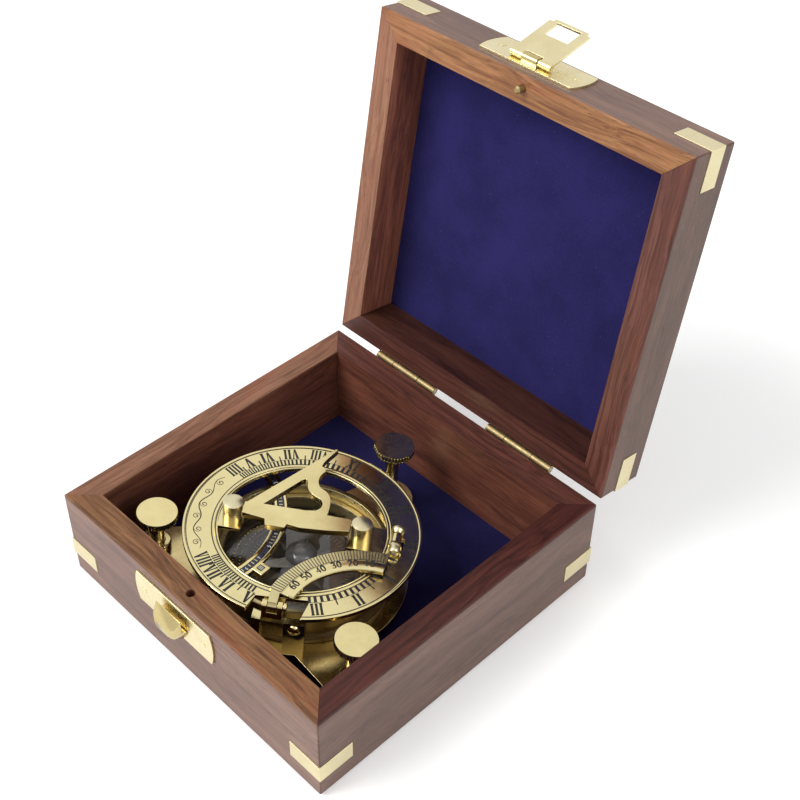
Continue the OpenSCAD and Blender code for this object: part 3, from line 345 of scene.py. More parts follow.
def makeMetal(name, colour, tarnish, rough, own, size=1.0, turned=0.0, bump=0.12, worn=0.35, sides=None, outside=None,
              v=metalValues):
    # sides: colour painted on the upright faces as painted reflection and shade, paler on the screws as painted
    # highlight; outside: colour painted beyond a radius of the instrument as painted shade on the drum's outer wall
    material, tree, shader, vector = startMaterial(name, *own)
    marks = useGroup(tree, metalMarks, vector)
    marks.inputs["Size"].default_value = size
    base = blendColour(tree, sums(tree, "MULTIPLY", marks.outputs["Tarnish"], worn), colour, tarnish)
    flecks = sums(tree, "MULTIPLY", marks.outputs["Flecks"], worn)
    base = blendColour(tree, flecks, base, tinted(tarnish, v["fleckTone"]))
    # painted shade on the outer wall of the drum, beyond a radius
    if outside:
        base = blendColour(tree, fit(tree, radiusOf(tree, vector), *v["outside"]), base, outside)
    # upright faces take the sides colour: painted reflection and shade
    if sides:
        normal = put(tree, "ShaderNodeTexCoord").outputs["Normal"]
        facing = put(tree, "ShaderNodeVectorMath", [(0, normal), (1, tuple(instrumentTurn[:, 2]))],
                     operation="DOT_PRODUCT").outputs["Value"]
        base = blendColour(tree, fit(tree, facing, *v["upright"], 0.0, v["paintedSideShare"]), base, sides)
    roughness = fit(tree, marks.outputs["Rub"], 0.3, 0.7, rough * v["roughLow"], rough * v["roughHigh"])
    feed(tree, shader, [("Base Color", base), ("Roughness", roughness), ("Metallic", 1.0)])
    height = marks.outputs["Height"]
    if turned:
        rings = useGroup(tree, turnedMarks, vector)
        height = sums(tree, "MULTIPLY_ADD", rings.outputs["Rings"], turned, height)
    useBump(tree, shader, height, bump, v["relief"])
    return material


paintValues = {"roughLow": 0.8, "roughHigh": 1.25, "bump": (0.1, 0.00003)}


def makePaint(name, colour, second, rough, scale=0.6, v=paintValues):
    material, tree, shader, vector = startMaterial(name, *ownInstrument)
    patch = fit(tree, noiseOf(tree, vector, (1, 1, 1), scale, detail=4, rough=0.65), 0.35, 0.68)
    feed(tree, shader, [("Base Color", blendColour(tree, patch, colour, second)),
                        ("Roughness", fit(tree, patch, 0, 1, rough * v["roughLow"], rough * v["roughHigh"]))])
    useBump(tree, shader, patch, *v["bump"])
    return material


# shade: the share of the felt colour that the base felt keeps, as painted shade inside the case
feltValues = {"dark": (0.0105, 0.009, 0.062), "light": (0.024, 0.020, 0.122), "lint": (0.20, 0.20, 0.30),
              "lintShare": 0.35, "rough": 0.95, "specular": 0.12, "sheen": 0.04, "sheenRough": 0.5,
              "bump": (0.8, 0.0003), "shade": 0.6}


def makeFelt(name, tone, v=feltValues):
    material, tree, shader, vector = startMaterial(name, *plain)
    nap = useGroup(tree, feltNap, vector)
    mask = fit(tree, nap.outputs["Tone"], 0.25, 0.75)
    colour = blendColour(tree, mask, tinted(v["dark"], tone), tinted(v["light"], tone))
    colour = blendColour(tree, sums(tree, "MULTIPLY", nap.outputs["Lint"], v["lintShare"]), colour, v["lint"])
    feed(tree, shader, [("Base Color", colour), ("Roughness", v["rough"]), ("Specular IOR Level", v["specular"]),
                        ("Sheen Weight", v["sheen"]), ("Sheen Roughness", v["sheenRough"])])
    useBump(tree, shader, nap.outputs["Height"], *v["bump"])
    return material


looks = {
    "felt": makeFelt("blueFelt", 1.0),
    # the base felt is the same felt painted darker, as painted shade inside the case
    "baseFelt": makeFelt("shadedFelt", feltValues["shade"]),
    "inlay": makeMetal("inlayBrass", (0.74, 0.66, 0.42), (0.56, 0.48, 0.27), 0.40, plain, 0.8, bump=0.3),
    "fitting": makeMetal("fittingBrass", (0.78, 0.69, 0.42), (0.58, 0.46, 0.22), 0.26, plain, 1.0),
    # the catch dome and latch curl: brass painted darker than the other fittings, as painted shade
    "pressed": makeMetal("pressedBrass", (0.56, 0.46, 0.22), (0.34, 0.26, 0.11), 0.20, plain, 1.0),
    # sides colours below are painted reflection and shade on upright faces, paler on the screws as painted highlight
    "post": makeMetal("satinBrass", (0.70, 0.63, 0.41), (0.50, 0.41, 0.21), 0.30, ownInstrument, worn=0.5,
                      sides=(0.44, 0.36, 0.19)),
    "hinge": makeMetal("hingeBrass", (0.34, 0.26, 0.13), (0.19, 0.13, 0.06), 0.46, plain, 1.5, bump=0.3),
    "steel": makeMetal("screwSteel", (0.50, 0.48, 0.44), (0.30, 0.28, 0.25), 0.35, plain, 1.5),
    "brass": makeMetal("instrumentBrass", (0.79, 0.68, 0.35), (0.56, 0.43, 0.18), 0.16, ownInstrument, turned=0.6,
                       sides=(0.40, 0.30, 0.14)),
    "plate": makeMetal("plateBrass", (0.66, 0.54, 0.27), (0.30, 0.21, 0.08), 0.17, ownInstrument, worn=0.5,
                       sides=(0.30, 0.22, 0.10)),
    # the outside colour is painted shade on the drum's outer wall
    "turnedBrass": makeMetal("turnedBrass", (0.62, 0.52, 0.28), (0.42, 0.33, 0.15), 0.30, ownInstrument, turned=2.2,
                             bump=0.4, outside=(0.19, 0.135, 0.06)),
    "dial": makeMetal("dialBrass", (0.79, 0.69, 0.37), (0.60, 0.48, 0.21), 0.13, ownInstrument, 0.9, turned=0.4,
                      bump=0.10, worn=0.25, sides=(0.50, 0.38, 0.17)),
    "arc": makeMetal("arcBrass", (0.68, 0.60, 0.33), (0.48, 0.39, 0.17), 0.20, ownInstrument, 1.1,
                     sides=(0.36, 0.27, 0.12)),
    "screw": makeMetal("screwBrass", (0.81, 0.70, 0.36), (0.60, 0.47, 0.21), 0.18, ownInstrument, 1.2, worn=0.3,
                       sides=(0.76, 0.68, 0.44)),
    "ink": makePaint("engravedBlack", (0.003, 0.003, 0.003), (0.010, 0.009, 0.007), 0.55),
    "blue": makePaint("scaleBlue", (0.010, 0.013, 0.030), (0.020, 0.025, 0.055), 0.30),
    "card": makePaint("cardBrown", (0.045, 0.030, 0.020), (0.16, 0.125, 0.085), 0.5, 0.10),
    "faded": makePaint("cardLines", (0.20, 0.17, 0.12), (0.30, 0.26, 0.19), 0.5),
    "boss": makePaint("bossGrey", (0.10, 0.10, 0.105), (0.17, 0.165, 0.16), 0.10, 0.25),
    "white": makePaint("markWhite", (0.72, 0.70, 0.62), (0.52, 0.50, 0.42), 0.5),
}
for wall, tone in woodValues["walls"].items():
    place, side = wall.split("_")
    looks[wall] = makeWood(place + "Wood" + side.capitalize(), place == "lid", side in ("left", "right"), tone)


def makeGlass(dusty=0.08, bending=1.45):
    material, tree, shader, vector = startMaterial("clearGlass", *ownInstrument)
    dust = fit(tree, noiseOf(tree, vector, (1, 1, 1), scale=0.8, detail=5, rough=0.7), 0.45, 0.8, 0.0, dusty)
    feed(tree, shader, [("Roughness", dust), ("Transmission Weight", 1.0), ("IOR", bending)])
    return material


looks["glass"] = makeGlass()

nodeLooks = {
    "wall_right": ["floor_board"], "lid_right": ["lid_board"], "felt": ["lid_felt"], "baseFelt": ["base_felt"],
    "inlay": ["base_inlay", "lid_inlay"],
    "fitting": ["catch_plate", "catch_rivets", "latch_plate", "latch_rivets", "hasp", "hasp_pin"],
    "hinge": ["base_hinge_leaves", "lid_hinge_leaves", "lid_peg"],
    "steel": ["base_hinge_screws", "lid_hinge_screws", "hinge_pins", "pivot", "ring_hinge_pin"],
    "pressed": ["catch_dome"], "plate": ["base_plate"], "post": ["gnomon_posts", "cross_pillars"],
    "brass": ["ring_bracket", "arc_clamp", "arc_clamp_screw", "ring_barrels", "arc_fork", "arc_pin", "gnomon",
              "cross_scale", "cross_slider"],
    "turnedBrass": ["drum", "bezel"], "dial": ["hour_ring"], "arc": ["latitude_arc"],
    "screw": ["level_screw_back", "level_screw_left", "level_screw_right"],
    "card": ["compass_card"], "white": ["needle"], "glass": ["glass"],
}
lookOf = {node: look for look, names in nodeLooks.items() for node in names}
for name, node in nodes.items():
    node.data.materials.clear()
    node.data.materials.append(looks[name if name in woodValues["walls"] else lookOf[name]])
print("materials made")

# meshes
meshValues = {"merge": 1e-7, "tiny": 1e-8, "mergeNode": 2e-7, "flat": 0.6, "edge": 30}   # metres and degrees
sunk = 0.05   # millimetres that marks reach down into what carries them
bodyOf = {node: body for body, names in frame["record"]["behaviour"]["bodies"].items() for node in names}
slotOf = {row["node"]: row["material_slot"] for row in frame["record"]["subparts"]}


def gridFaces(rows, columns, closeRows, closeColumns):
    # quads between neighbours of a grid of rows by columns points
    i, j = np.meshgrid(np.arange(rows if closeRows else rows - 1),
                       np.arange(columns if closeColumns else columns - 1), indexing="ij")
    iNext, jNext = (i + 1) % rows, (j + 1) % columns
    corners = [i * columns + j, iNext * columns + j, iNext * columns + jNext, i * columns + jNext]
    return np.stack(corners, -1).reshape(-1, 4).tolist()


def unit(degrees):
    # directions on the plan: (cos a, sin a)
    a = np.radians(degrees)
    return np.stack([np.cos(a), np.sin(a)], -1)


def aside(directions):
    # a quarter turn further: (-sin a, cos a)
    return directions[..., ::-1] * [-1, 1]


def allRound(count):
    return unit(np.linspace(0, 360, count, endpoint=False))


def joined(parts):
    # several point and face lists as one
    points, faces, count = [], [], 0
    for partPoints, partFaces in parts:
        points.append(np.asarray(partPoints, float).reshape(-1, 3))
        faces += [[index + count for index in face] for face in partFaces]
        count += len(points[-1])
    return np.concatenate(points), faces


def moved(shape, centre):
    # the same shape about another upright axis
    return shape[0] + [*centre, 0], shape[1]


def finishMesh(mesh, sharp):
    work = bmesh.new()
    work.from_mesh(mesh)
    bmesh.ops.remove_doubles(work, verts=work.verts, dist=meshValues["merge"])
    bmesh.ops.dissolve_degenerate(work, edges=work.edges, dist=meshValues["tiny"])
    bmesh.ops.recalc_face_normals(work, faces=work.faces)
    work.to_mesh(mesh)
    work.free()
    mesh.shade_smooth()
    mesh.set_sharp_from_angle(angle=np.radians(sharp))


def makePiece(name, shape, look, body, place=toInstrument, replaced=(), sharp=32):
    points, faces = shape
    mesh = bpy.data.meshes.new(name)
    mesh.from_pydata((place(points) * millimetre).tolist(), [], faces)
    finishMesh(mesh, sharp)
    mesh.materials.append(looks[look])
    piece = addObject(name, mesh)
    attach(piece, body)
    if replaced:
        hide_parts(*replaced)


def addBevel(piece, width, segments):
    bevel = piece.modifiers.new("softEdge", "BEVEL")
    bevel.width, bevel.segments = width * millimetre, segments
    bevel.limit_method, bevel.angle_limit = "ANGLE", np.radians(meshValues["edge"])
    bevel.harden_normals = True
    bevel.use_clamp_overlap = True


def softenNode(node, name, width, segments, shade):
    # the CAD node's own shape, merged, with its edges rounded; edges under shade degrees look smooth
    mesh = nodes[node].data.copy()
    mesh.name = name
    work = bmesh.new()
    work.from_mesh(mesh)
    bmesh.ops.remove_doubles(work, verts=work.verts, dist=meshValues["mergeNode"])
    bmesh.ops.dissolve_limit(work, angle_limit=np.radians(meshValues["flat"]), verts=work.verts, edges=work.edges)
    work.to_mesh(mesh)
    work.free()
    mesh.shade_smooth()
    mesh.set_sharp_from_angle(angle=np.radians(shade))
    piece = addObject(name, mesh)
    addBevel(piece, width, segments)
    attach(piece, bodyOf[node])
    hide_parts(node)


def carried(profile, a0=0, a1=360, steps=128, closed=True):
    # an outline of (radius, height) carried about Z: (r cos a, r sin a, z) for a from a0 to a1 degrees
    profile = np.asarray(profile, float)
    full = a1 - a0 >= 360
    around = unit(np.linspace(a0, a1, steps, endpoint=not full))[:, None] * profile[:, :1]
    points = np.concatenate([around, np.broadcast_to(profile[:, 1:], (steps, len(profile), 1))], -1)
    faces = gridFaces(steps, len(profile), full, closed)
    if not full:
        last = len(profile)
        faces += [list(range(last))[::-1], [(steps - 1) * last + k for k in range(last)]]
    return points.reshape(-1, 3), faces


def band(r0, r1, z0, z1, a0=0, a1=360, steps=128):
    # a rectangle between two radii and two heights, carried about Z
    return carried([(r0, z0), (r1, z0), (r1, z1), (r0, z1)], a0, a1, steps)


def bead(r, half, z, rise, a0=0, a1=360, steps=160):
    # a half ellipse standing on height z, carried about Z at radius r
    foot = z - 2 * sunk
    arch = unit(np.linspace(0, 180, 7)) * [half, rise] + [r, z]
    return carried([(r + half, foot), *arch, (r - half, foot)], a0, a1, steps)


def prisms(quads, z0, z1):
    # upright blocks on four-cornered plans, given as an array of N by 4 by 2
    quads = np.asarray(quads, float)
    count = len(quads)
    low = np.concatenate([quads, np.full((count, 4, 1), z0)], -1)
    high = np.concatenate([quads, np.full((count, 4, 1), z1)], -1)
    points = np.concatenate([low, high], 1).reshape(-1, 3)
    one = np.array([[3, 2, 1, 0], [4, 5, 6, 7], [0, 1, 5, 4], [1, 2, 6, 5], [2, 3, 7, 6], [3, 0, 4, 7]])
    faces = (np.arange(count)[:, None, None] * 8 + one).reshape(-1, 4)
    return points, faces.tolist()


def ribbon(path, width, z0, z1):
    # a flat bar of the given width carried along a plan path, between heights z0 and z1
    path = np.asarray(path, float)
    along = np.gradient(path, axis=0)
    along /= np.linalg.norm(along, axis=1, keepdims=True)
    half = np.broadcast_to(np.asarray(width, float) / 2, (len(path),))[:, None]
    side = aside(along) * half
    corners = ((path - side, z0), (path + side, z0), (path + side, z1), (path - side, z1))
    points = np.stack([np.column_stack([plan, np.full(len(path), z)]) for plan, z in corners], 1)
    last = len(path) * 4 - 4
    ends = [[3, 2, 1, 0], [last, last + 1, last + 2, last + 3]]
    return points.reshape(-1, 3), gridFaces(len(path), 4, False, True) + ends


def domes(centres, r, z, rise, sides=8):
    # small round studs of three rings: foot, shoulder and flat top
    ring = allRound(sides)
    centres = np.asarray(centres, float)[:, None, :]
    rows = [np.concatenate([centres + ring * r * k, np.full((len(centres), sides, 1), h)], -1)
            for k, h in ((1, z - sunk), (0.92, z + 0.5 * rise), (0.5, z + rise))]
    points = np.stack(rows, 1)
    one = np.array(gridFaces(3, sides, False, True))
    count = np.arange(len(centres))
    faces = (count[:, None, None] * 3 * sides + one).reshape(-1, 4).tolist()
    faces += (count[:, None] * 3 * sides + np.arange(sides)[::-1]).tolist()
    faces += (count[:, None] * 3 * sides + 2 * sides + np.arange(sides)).tolist()
    return points.reshape(-1, 3), faces


def radialQuads(angles, r0, r1, width):
    # thin marks along the radius at the given angles (degrees)
    along = unit(angles)[:, None, :]
    reach = np.array([r0, r1, r1, r0])[:, None]
    wide = np.broadcast_to(np.asarray(width, float), (len(along),))[:, None, None]
    return along * reach + aside(along) * np.array([-0.5, -0.5, 0.5, 0.5])[:, None] * wide


strokes = {   # four-cornered strokes of each letter in a height of 1
    "I": (0.50, [[(-.17, 0), (.17, 0), (.17, 1), (-.17, 1)], [(-.22, 0), (.22, 0), (.22, .08), (-.22, .08)],
                 [(-.22, .92), (.22, .92), (.22, 1), (-.22, 1)]]),
    "V": (1.0, [[(-.10, 0), (.13, 0), (-.08, 1), (-.46, 1)], [(.0, 0), (.13, 0), (.44, 1), (.26, 1)],
                [(-.49, .92), (-.04, .92), (-.04, 1), (-.49, 1)], [(.17, .92), (.5, .92), (.5, 1), (.17, 1)]]),
    "X": (1.0, [[(.08, 0), (.46, 0), (-.08, 1), (-.46, 1)], [(-.40, 0), (-.24, 0), (.40, 1), (.24, 1)],
                [(-.49, .92), (-.04, .92), (-.04, 1), (-.49, 1)], [(.17, .92), (.5, .92), (.5, 1), (.17, 1)],
                [(-.5, 0), (-.17, 0), (-.17, .08), (-.5, .08)], [(.04, 0), (.49, 0), (.49, .08), (.04, .08)]]),
}


letterValues = {"gap": 0.05, "squeeze": 0.062}   # of the height; longer numerals are squeezed more


def numeralQuads(text, angle, rFoot, rTop, narrow):
    # letters with their feet at rFoot and their tops towards the middle at rTop
    tall = rFoot - rTop
    gap, narrow = letterValues["gap"], narrow - letterValues["squeeze"] * len(text)
    widths = [strokes[letter][0] * narrow for letter in text]
    start = -0.5 * (sum(widths) + gap * (len(text) - 1))
    quads = []
    for letter, width in zip(text, widths):
        middle = start + width / 2
        quads += [[(middle + u * narrow, w) for u, w in stroke] for stroke in strokes[letter][1]]
        start += width + gap
    quads = np.array(quads) * tall
    out = unit(angle)
    return rFoot * out + quads[..., :1] * aside(out) - quads[..., 1:] * out


def loop(x, y, rx, ry, start=90, turn=360, steps=17):
    # an ellipse's path: (x + rx cos t, y + ry sin t)
    return (unit(np.linspace(start, start + turn, steps)) * [rx, ry] + [x, y]).tolist()


digits = {   # pen paths of each figure in a height of 1
    "0": loop(.3, .5, .25, .48),
    "1": [(.14, .8), (.32, 1), (.32, 0)],
    "2": [(.06, .76), (.14, .93), (.3, 1), (.48, .92), (.54, .74), (.44, .5), (.06, .02), (.58, .02)],
    "3": [(.08, .88), (.28, 1), (.5, .88), (.5, .66), (.28, .54), (.52, .42), (.55, .18), (.3, 0), (.06, .12)],
    "4": [(.44, 0), (.44, 1), (.03, .3), (.6, .3)],
    "5": [(.52, .98), (.14, .98), (.1, .56), (.32, .62), (.54, .46), (.52, .14), (.28, 0), (.05, .1)],
    "6": [(.5, .94), (.26, .84), (.1, .5)] + loop(.31, .28, .23, .27, 150, 360),
    "7": [(.05, .98), (.57, .98), (.24, 0)],
    "8": loop(.3, .26, .24, .26, 90, 360) + loop(.3, .75, .19, .23, 270, 360)[1:],
    "9": [(.12, .06), (.36, .16), (.52, .5)] + loop(.31, .72, .23, .27, -30, -360),
}


digitValues = {"wide": 0.85, "pitch": 0.66}   # width of the pen paths, and steps between figures, of the height


def written(text, centre, radius, angle, tall, pen, z0, z1, outward=True):
    # figures of the given height set round a centre, feet towards it or away from it
    parts, way = [], 1 if outward else -1
    for k, figure in enumerate(text):
        start = (k - len(text) / 2) * digitValues["pitch"] * tall
        path = np.array(digits[figure]) * tall * [digitValues["wide"], 1] + [start, -tall / 2]
        around = unit(angle - way * np.degrees(path[:, 0] / radius))
        parts.append(ribbon((radius + way * path[:, 1:]) * around + centre, pen, z0, z1))
    return parts


# hour ring: radii, widths and heights in millimetres, places round it in degrees from XII
dialValues = {
    "top": 23.0, "proud": 0.04, "notch": (-106, -79.5), "notchEdge": 3, "slot": 5.0,
    "hours": [0, 26.5, 49, 71.6, 92, 108, 122, 133, 143], "perHour": 6,
    "upper": ["XI", "X", "IX", "VIII", "VII", "VI", "V", "IIII"],
    "lower": ["I", "II", "III", None, "V", "VI", "VII", "VIII"],
    "numeralTop": 32.3, "numeralFoot": 37.0, "noonTop": 33.4, "narrow": 0.68,
    "tickIn": 29.65, "tickOut": 31.9, "tickPitchAt": 30.7, "tickShare": 0.52, "tickWidest": 0.95,
    "halfIn": 31.8, "halfOut": 34.0, "halfWide": 0.42,
    "outerLine": (37.42, 37.7), "roundLines": [(29.3, 29.62), (28.0, 28.26)],
    "tickLine": (31.9, 32.02), "lineSteps": 200, "tickLineSteps": 160,
    "outerBead": (38.28, 0.5, 0.28), "roundBeads": [(28.78, 0.46, 0.16), (27.72, 0.28, 0.22)],
}
scrollValues = {
    "from": 151, "to": 209, "radius": 34.2, "bends": 6, "swing": 0.95, "pen": (0.16, 0.22), "steps": 150,
    "curl": (0.25, 1.05), "curlStart": -30, "curlTurn": 470, "curlDrop": 0.55, "curlPen": (0.34, 0.2), "curlSteps": 26,
}


def hourAngle(hour):
    # degrees from XII, less and less for each further hour
    hours = dialValues["hours"]
    return np.interp(np.abs(hour), range(len(hours)), hours) * np.sign(hour)


def makeDial(v, scroll):
    z0, z1 = v["top"] - sunk, v["top"] + v["proud"]
    start, end, lastTick = v["notch"][1], 360 + v["notch"][0], v["hours"][-1]
    quads = [numeralQuads("XII", 0, v["numeralFoot"], v["noonTop"], v["narrow"])]
    for way, row in ((1, v["upper"]), (-1, v["lower"])):
        quads += [numeralQuads(text, way * hourAngle(k + 1), v["numeralFoot"], v["numeralTop"], v["narrow"])
                  for k, text in enumerate(row) if text]
    makePiece("hourNumerals", prisms(np.concatenate(quads), z0, z1), "ink", "dial")

    def offNotch(angles):
        return (angles < v["notch"][0]) | (angles > v["notch"][1] + v["notchEdge"])

    last = len(v["hours"]) - 1
    angle = hourAngle(np.arange(-last * v["perHour"], last * v["perHour"] + 1) / v["perHour"])
    wide = np.minimum(np.radians(np.gradient(angle)) * v["tickPitchAt"] * v["tickShare"], v["tickWidest"])
    keep = (np.abs(angle) > v["slot"]) & offNotch(angle)
    half = hourAngle(np.arange(0.5 - last, last))
    marks = [radialQuads(angle[keep], v["tickIn"], v["tickOut"], wide[keep]),
             radialQuads(half[offNotch(half)], v["halfIn"], v["halfOut"], v["halfWide"])]
    makePiece("hourTicks", prisms(np.concatenate(marks), z0, z1), "ink", "dial")
    lines = [band(*v["outerLine"], z0, z1, start, end, v["lineSteps"])]
    lines += [band(*radii, z0, z1, steps=v["lineSteps"]) for radii in v["roundLines"]]
    lines += [band(*v["tickLine"], z0, z1, a0, a1, v["tickLineSteps"])
              for a0, a1 in ((start, lastTick), (360 - lastTick, end))]
    makePiece("borderLines", joined(lines), "ink", "dial")
    beads = [(*v["outerBead"], start, end)] + v["roundBeads"]
    rims = [bead(r, halfWide, v["top"], rise, *ends) for r, halfWide, rise, *ends in beads]
    makePiece("dialBeads", joined(rims), "dial", "dial")
    makeScroll(scroll, z0, z1)


def makeScroll(v, z0, z1):
    # a plain running scroll: a wave along the ring, out = swing sin(pi bends t), with a curl in each bend
    bends, r, reach = v["bends"], v["radius"], v["to"] - v["from"]

    def onRing(along, out):
        return unit(along) * (r + out)[:, None]

    t = np.linspace(0, 1, v["steps"])
    wave = onRing(v["from"] + reach * t, v["swing"] * np.sin(np.pi * bends * t))
    parts = [ribbon(wave, v["pen"][0] + v["pen"][1] * np.sin(np.pi * t), z0, z1)]
    turn = np.linspace(0, 1, v["curlSteps"])
    size = v["curl"][0] + v["curl"][1] * turn
    spin = np.radians(v["curlStart"] + v["curlTurn"] * turn)
    for k in range(bends):
        way = -1 if k % 2 else 1
        curl = onRing(v["from"] + reach * (k + 0.5) / bends + way * np.degrees(size * np.cos(spin) / r),
                      way * (size * np.sin(spin) - v["curlDrop"]))
        parts.append(ribbon(curl, v["curlPen"][0] - v["curlPen"][1] * turn, z0, z1))
    makePiece("dialScroll", joined(parts), "ink", "dial")


makeDial(dialValues, scrollValues)
print("dial marks made")

# latitude arc; its strip is an outline of (radius, height over the arc)
arcValues = {
    "centre": (25.9, -39.0), "top": 25.1, "proud": 0.04, "from": 162.2, "to": 85.0, "steps": 90,
    "tickIn": 28.1, "tickOut": 31.7, "tickWide": 0.24, "tickStep": 1.86, "line": (27.94, 28.1),
    "strip": [(23.7, -0.1), (27.4, -0.1), (27.4, 0.02), (24.1, 0.3), (23.7, 0.2)], "stripEnds": (83.8, 162.8),
    "numbers": ["10", "20", "30", "40", "50", "60"], "numberEnds": (94, 152), "numberAt": 26.4,
    "numberTall": 2.7, "numberPen": 0.46, "numberTop": 25.32,
}


def makeArcMarks(v):
    z0, z1, slot = v["top"] - sunk, v["top"] + v["proud"], slotOf["latitude_arc"]
    angles = np.arange(v["from"], v["to"], -v["tickStep"])
    ticks = prisms(radialQuads(angles, v["tickIn"], v["tickOut"], v["tickWide"]), z0, z1)
    line = band(*v["line"], z0, z1, v["to"] - 1, v["from"], v["steps"])
    makePiece("arcTicks", moved(joined([ticks, line]), v["centre"]), "ink", "arc")
    strip = carried([(r, v["top"] + h) for r, h in v["strip"]], *v["stripEnds"], v["steps"])
    makePiece("arcStrip", moved(strip, v["centre"]), "dial", "arc")
    numbers = []
    for text, angle in zip(v["numbers"], np.linspace(*v["numberEnds"], len(v["numbers"]))):
        numbers += written(text, v["centre"], v["numberAt"], angle, v["numberTall"], v["numberPen"], z0, v["numberTop"])
    makePiece("arcNumbers", joined(numbers), "ink", "arc")


makeArcMarks(arcValues)

# curved scale over the compass, with its block
crossValues = {
    "centre": (-46.0, 3.0), "middle": 37.6, "half": 2.25, "top": 18.6, "from": -43.8, "to": 43.4, "endGap": 3,
    "steps": 90, "channel": 1.0, "edgeRise": 0.3, "proud": 0.08, "dashStep": 2.3, "dashIn": 0.75, "dashOut": 0.5,
    "dashWide": 0.34, "figures": "63482957", "figureStep": 9.2, "figureAt": 37.7, "figureTall": 1.2, "figurePen": 0.22,
    "blockAngle": -29, "blockAt": 41.15, "blockTop": 19.3, "blockHalf": 1.05, "blockProud": 0.04,
    "grooves": (-0.5, 0, 0.5), "grooveLong": 0.8, "grooveHalf": 0.1, "grooveProud": 0.07,
}


def makeCrossMarks(v):
    r, top, low, high = v["middle"], v["top"], v["from"] + v["endGap"], v["to"] - v["endGap"]
    ends = (v["from"], v["to"], v["steps"])
    channel = band(r - v["channel"], r + v["channel"], top - sunk, top + sunk, *ends)
    makePiece("crossChannel", moved(channel, v["centre"]), "blue", "instrument")
    edge = (v["half"] - v["channel"]) / 2
    edges = joined([bead(r + way * (v["half"] - edge), edge, top, v["edgeRise"], *ends) for way in (-1, 1)])
    makePiece("crossEdges", moved(edges, v["centre"]), "dial", "instrument")
    figures = []
    for k, angle in enumerate(np.arange(high, low, -v["figureStep"])):
        figures += written(v["figures"][k % len(v["figures"])], v["centre"], v["figureAt"], angle, v["figureTall"],
                           v["figurePen"], top, top + v["proud"], outward=False)
    dashes = np.arange(high - v["dashStep"], low, -v["dashStep"])
    dashes = dashes[np.arange(len(dashes)) % 4 != 3]   # every fourth place holds a figure
    dashes = prisms(radialQuads(dashes, r - v["dashIn"], r + v["dashOut"], v["dashWide"]), top, top + v["proud"])
    makePiece("crossDashes", moved(dashes, v["centre"]), "arc", "instrument")
    makePiece("crossFigures", joined(figures), "white", "instrument")
    square = np.array([[-1, -1], [1, -1], [1, 1], [-1, 1]])
    face = [square * v["blockHalf"]]
    grooves = [square * [v["grooveLong"], v["grooveHalf"]] + [0, across] for across in v["grooves"]]
    for name, quads, look, rise in (("blockFace", face, "ink", v["blockProud"]),
                                    ("blockLines", grooves, "white", v["grooveProud"])):
        plan = (np.array(quads) + [v["blockAt"], 0]) @ turnAbout("Z", v["blockAngle"])[:2, :2].T + v["centre"]
        block = prisms(plan, v["blockTop"] - sunk, v["blockTop"] + rise)
        makePiece(name, block, look, "instrument")


makeCrossMarks(crossValues)

# compass card under the glass, and the grey dome on the glass
cardValues = {
    "top": 4.6, "proud": 0.04, "glassTop": 10.2, "boss": 5.3, "bossRise": 3.4, "bossSides": 64, "bossRings": 9,
    "beadRows": [(20.2, 84), (22.4, 96)], "bead": 0.42, "beadRise": 0.35, "lines": [(18.9, 19.2), (23.6, 23.9)],
    "arms": 8, "star": (8.2, 12.6), "starHalf": 1.1, "starTip": 0.02, "starProud": 0.05,
    "ticks": (15.4, 17.4), "tickStep": 5, "tickWide": 0.3,
}


def makeCard(v):
    top, low, high = v["top"], v["top"] - sunk, v["top"] + v["starProud"]
    outline = unit(np.linspace(0, 90, v["bossRings"])) * [v["boss"], v["bossRise"]] + [0, v["glassTop"]]
    points, faces = carried(outline, steps=v["bossSides"], closed=False)
    bottom = list(range(0, len(points), len(outline)))[::-1]
    makePiece("glassBoss", (points, faces + [bottom]), "boss", "instrument")
    rows = [domes(r * allRound(count), v["bead"], top, v["beadRise"]) for r, count in v["beadRows"]]
    makePiece("cardBeads", joined(rows), "brass", "instrument")
    lines = [band(*radii, low, top + v["proud"]) for radii in v["lines"]]
    arm = allRound(v["arms"])[:, None]
    foot, tip = (arm * r for r in v["star"])
    half = aside(arm) * v["starHalf"]
    star = np.concatenate([foot - half, tip, tip + aside(arm) * v["starTip"], foot + half], 1)
    ticks = radialQuads(np.arange(0, 360, v["tickStep"]), *v["ticks"], v["tickWide"])
    lines += [prisms(star, low, high), prisms(ticks, low, high)]
    makePiece("cardMarks", joined(lines), "faded", "instrument")


makeCard(cardValues)
print("scales and card made")

# round barrels of the ring's hinge, as outlines of (radius, distance outwards)
barrelValues = {
    "x": 30.5, "z": 24.5, "start": 2.5, "steps": 40,
    "ball": [(0, 0), (1.5, 0), (1.75, 0.3), (1.6, 0.55), (2.05, 1.0), (2.18, 1.6), (2.1, 2.2), (1.75, 2.8), (1.2, 3.3),
             (0.6, 3.6), (0, 3.7)],
    "cone": [(0, 0), (1.95, 0), (2.15, 0.25), (2.15, 0.9), (1.9, 1.1), (1.8, 2.6), (1.6, 3.3), (1.25, 3.6), (0, 3.7)],
}


def makeBarrels(v):
    parts = []
    for way, key in ((1, "ball"), (-1, "cone")):
        points, faces = carried(v[key], steps=v["steps"], closed=False)
        laid = [v["x"] + points[:, 0], way * (v["start"] + points[:, 2]), v["z"] + points[:, 1]]
        parts.append((np.stack(laid, -1), faces))
    makePiece("ringBarrelsTurned", joined(parts), "post", "dial",
              replaced=("ring_barrels",), sharp=40)


makeBarrels(barrelValues)

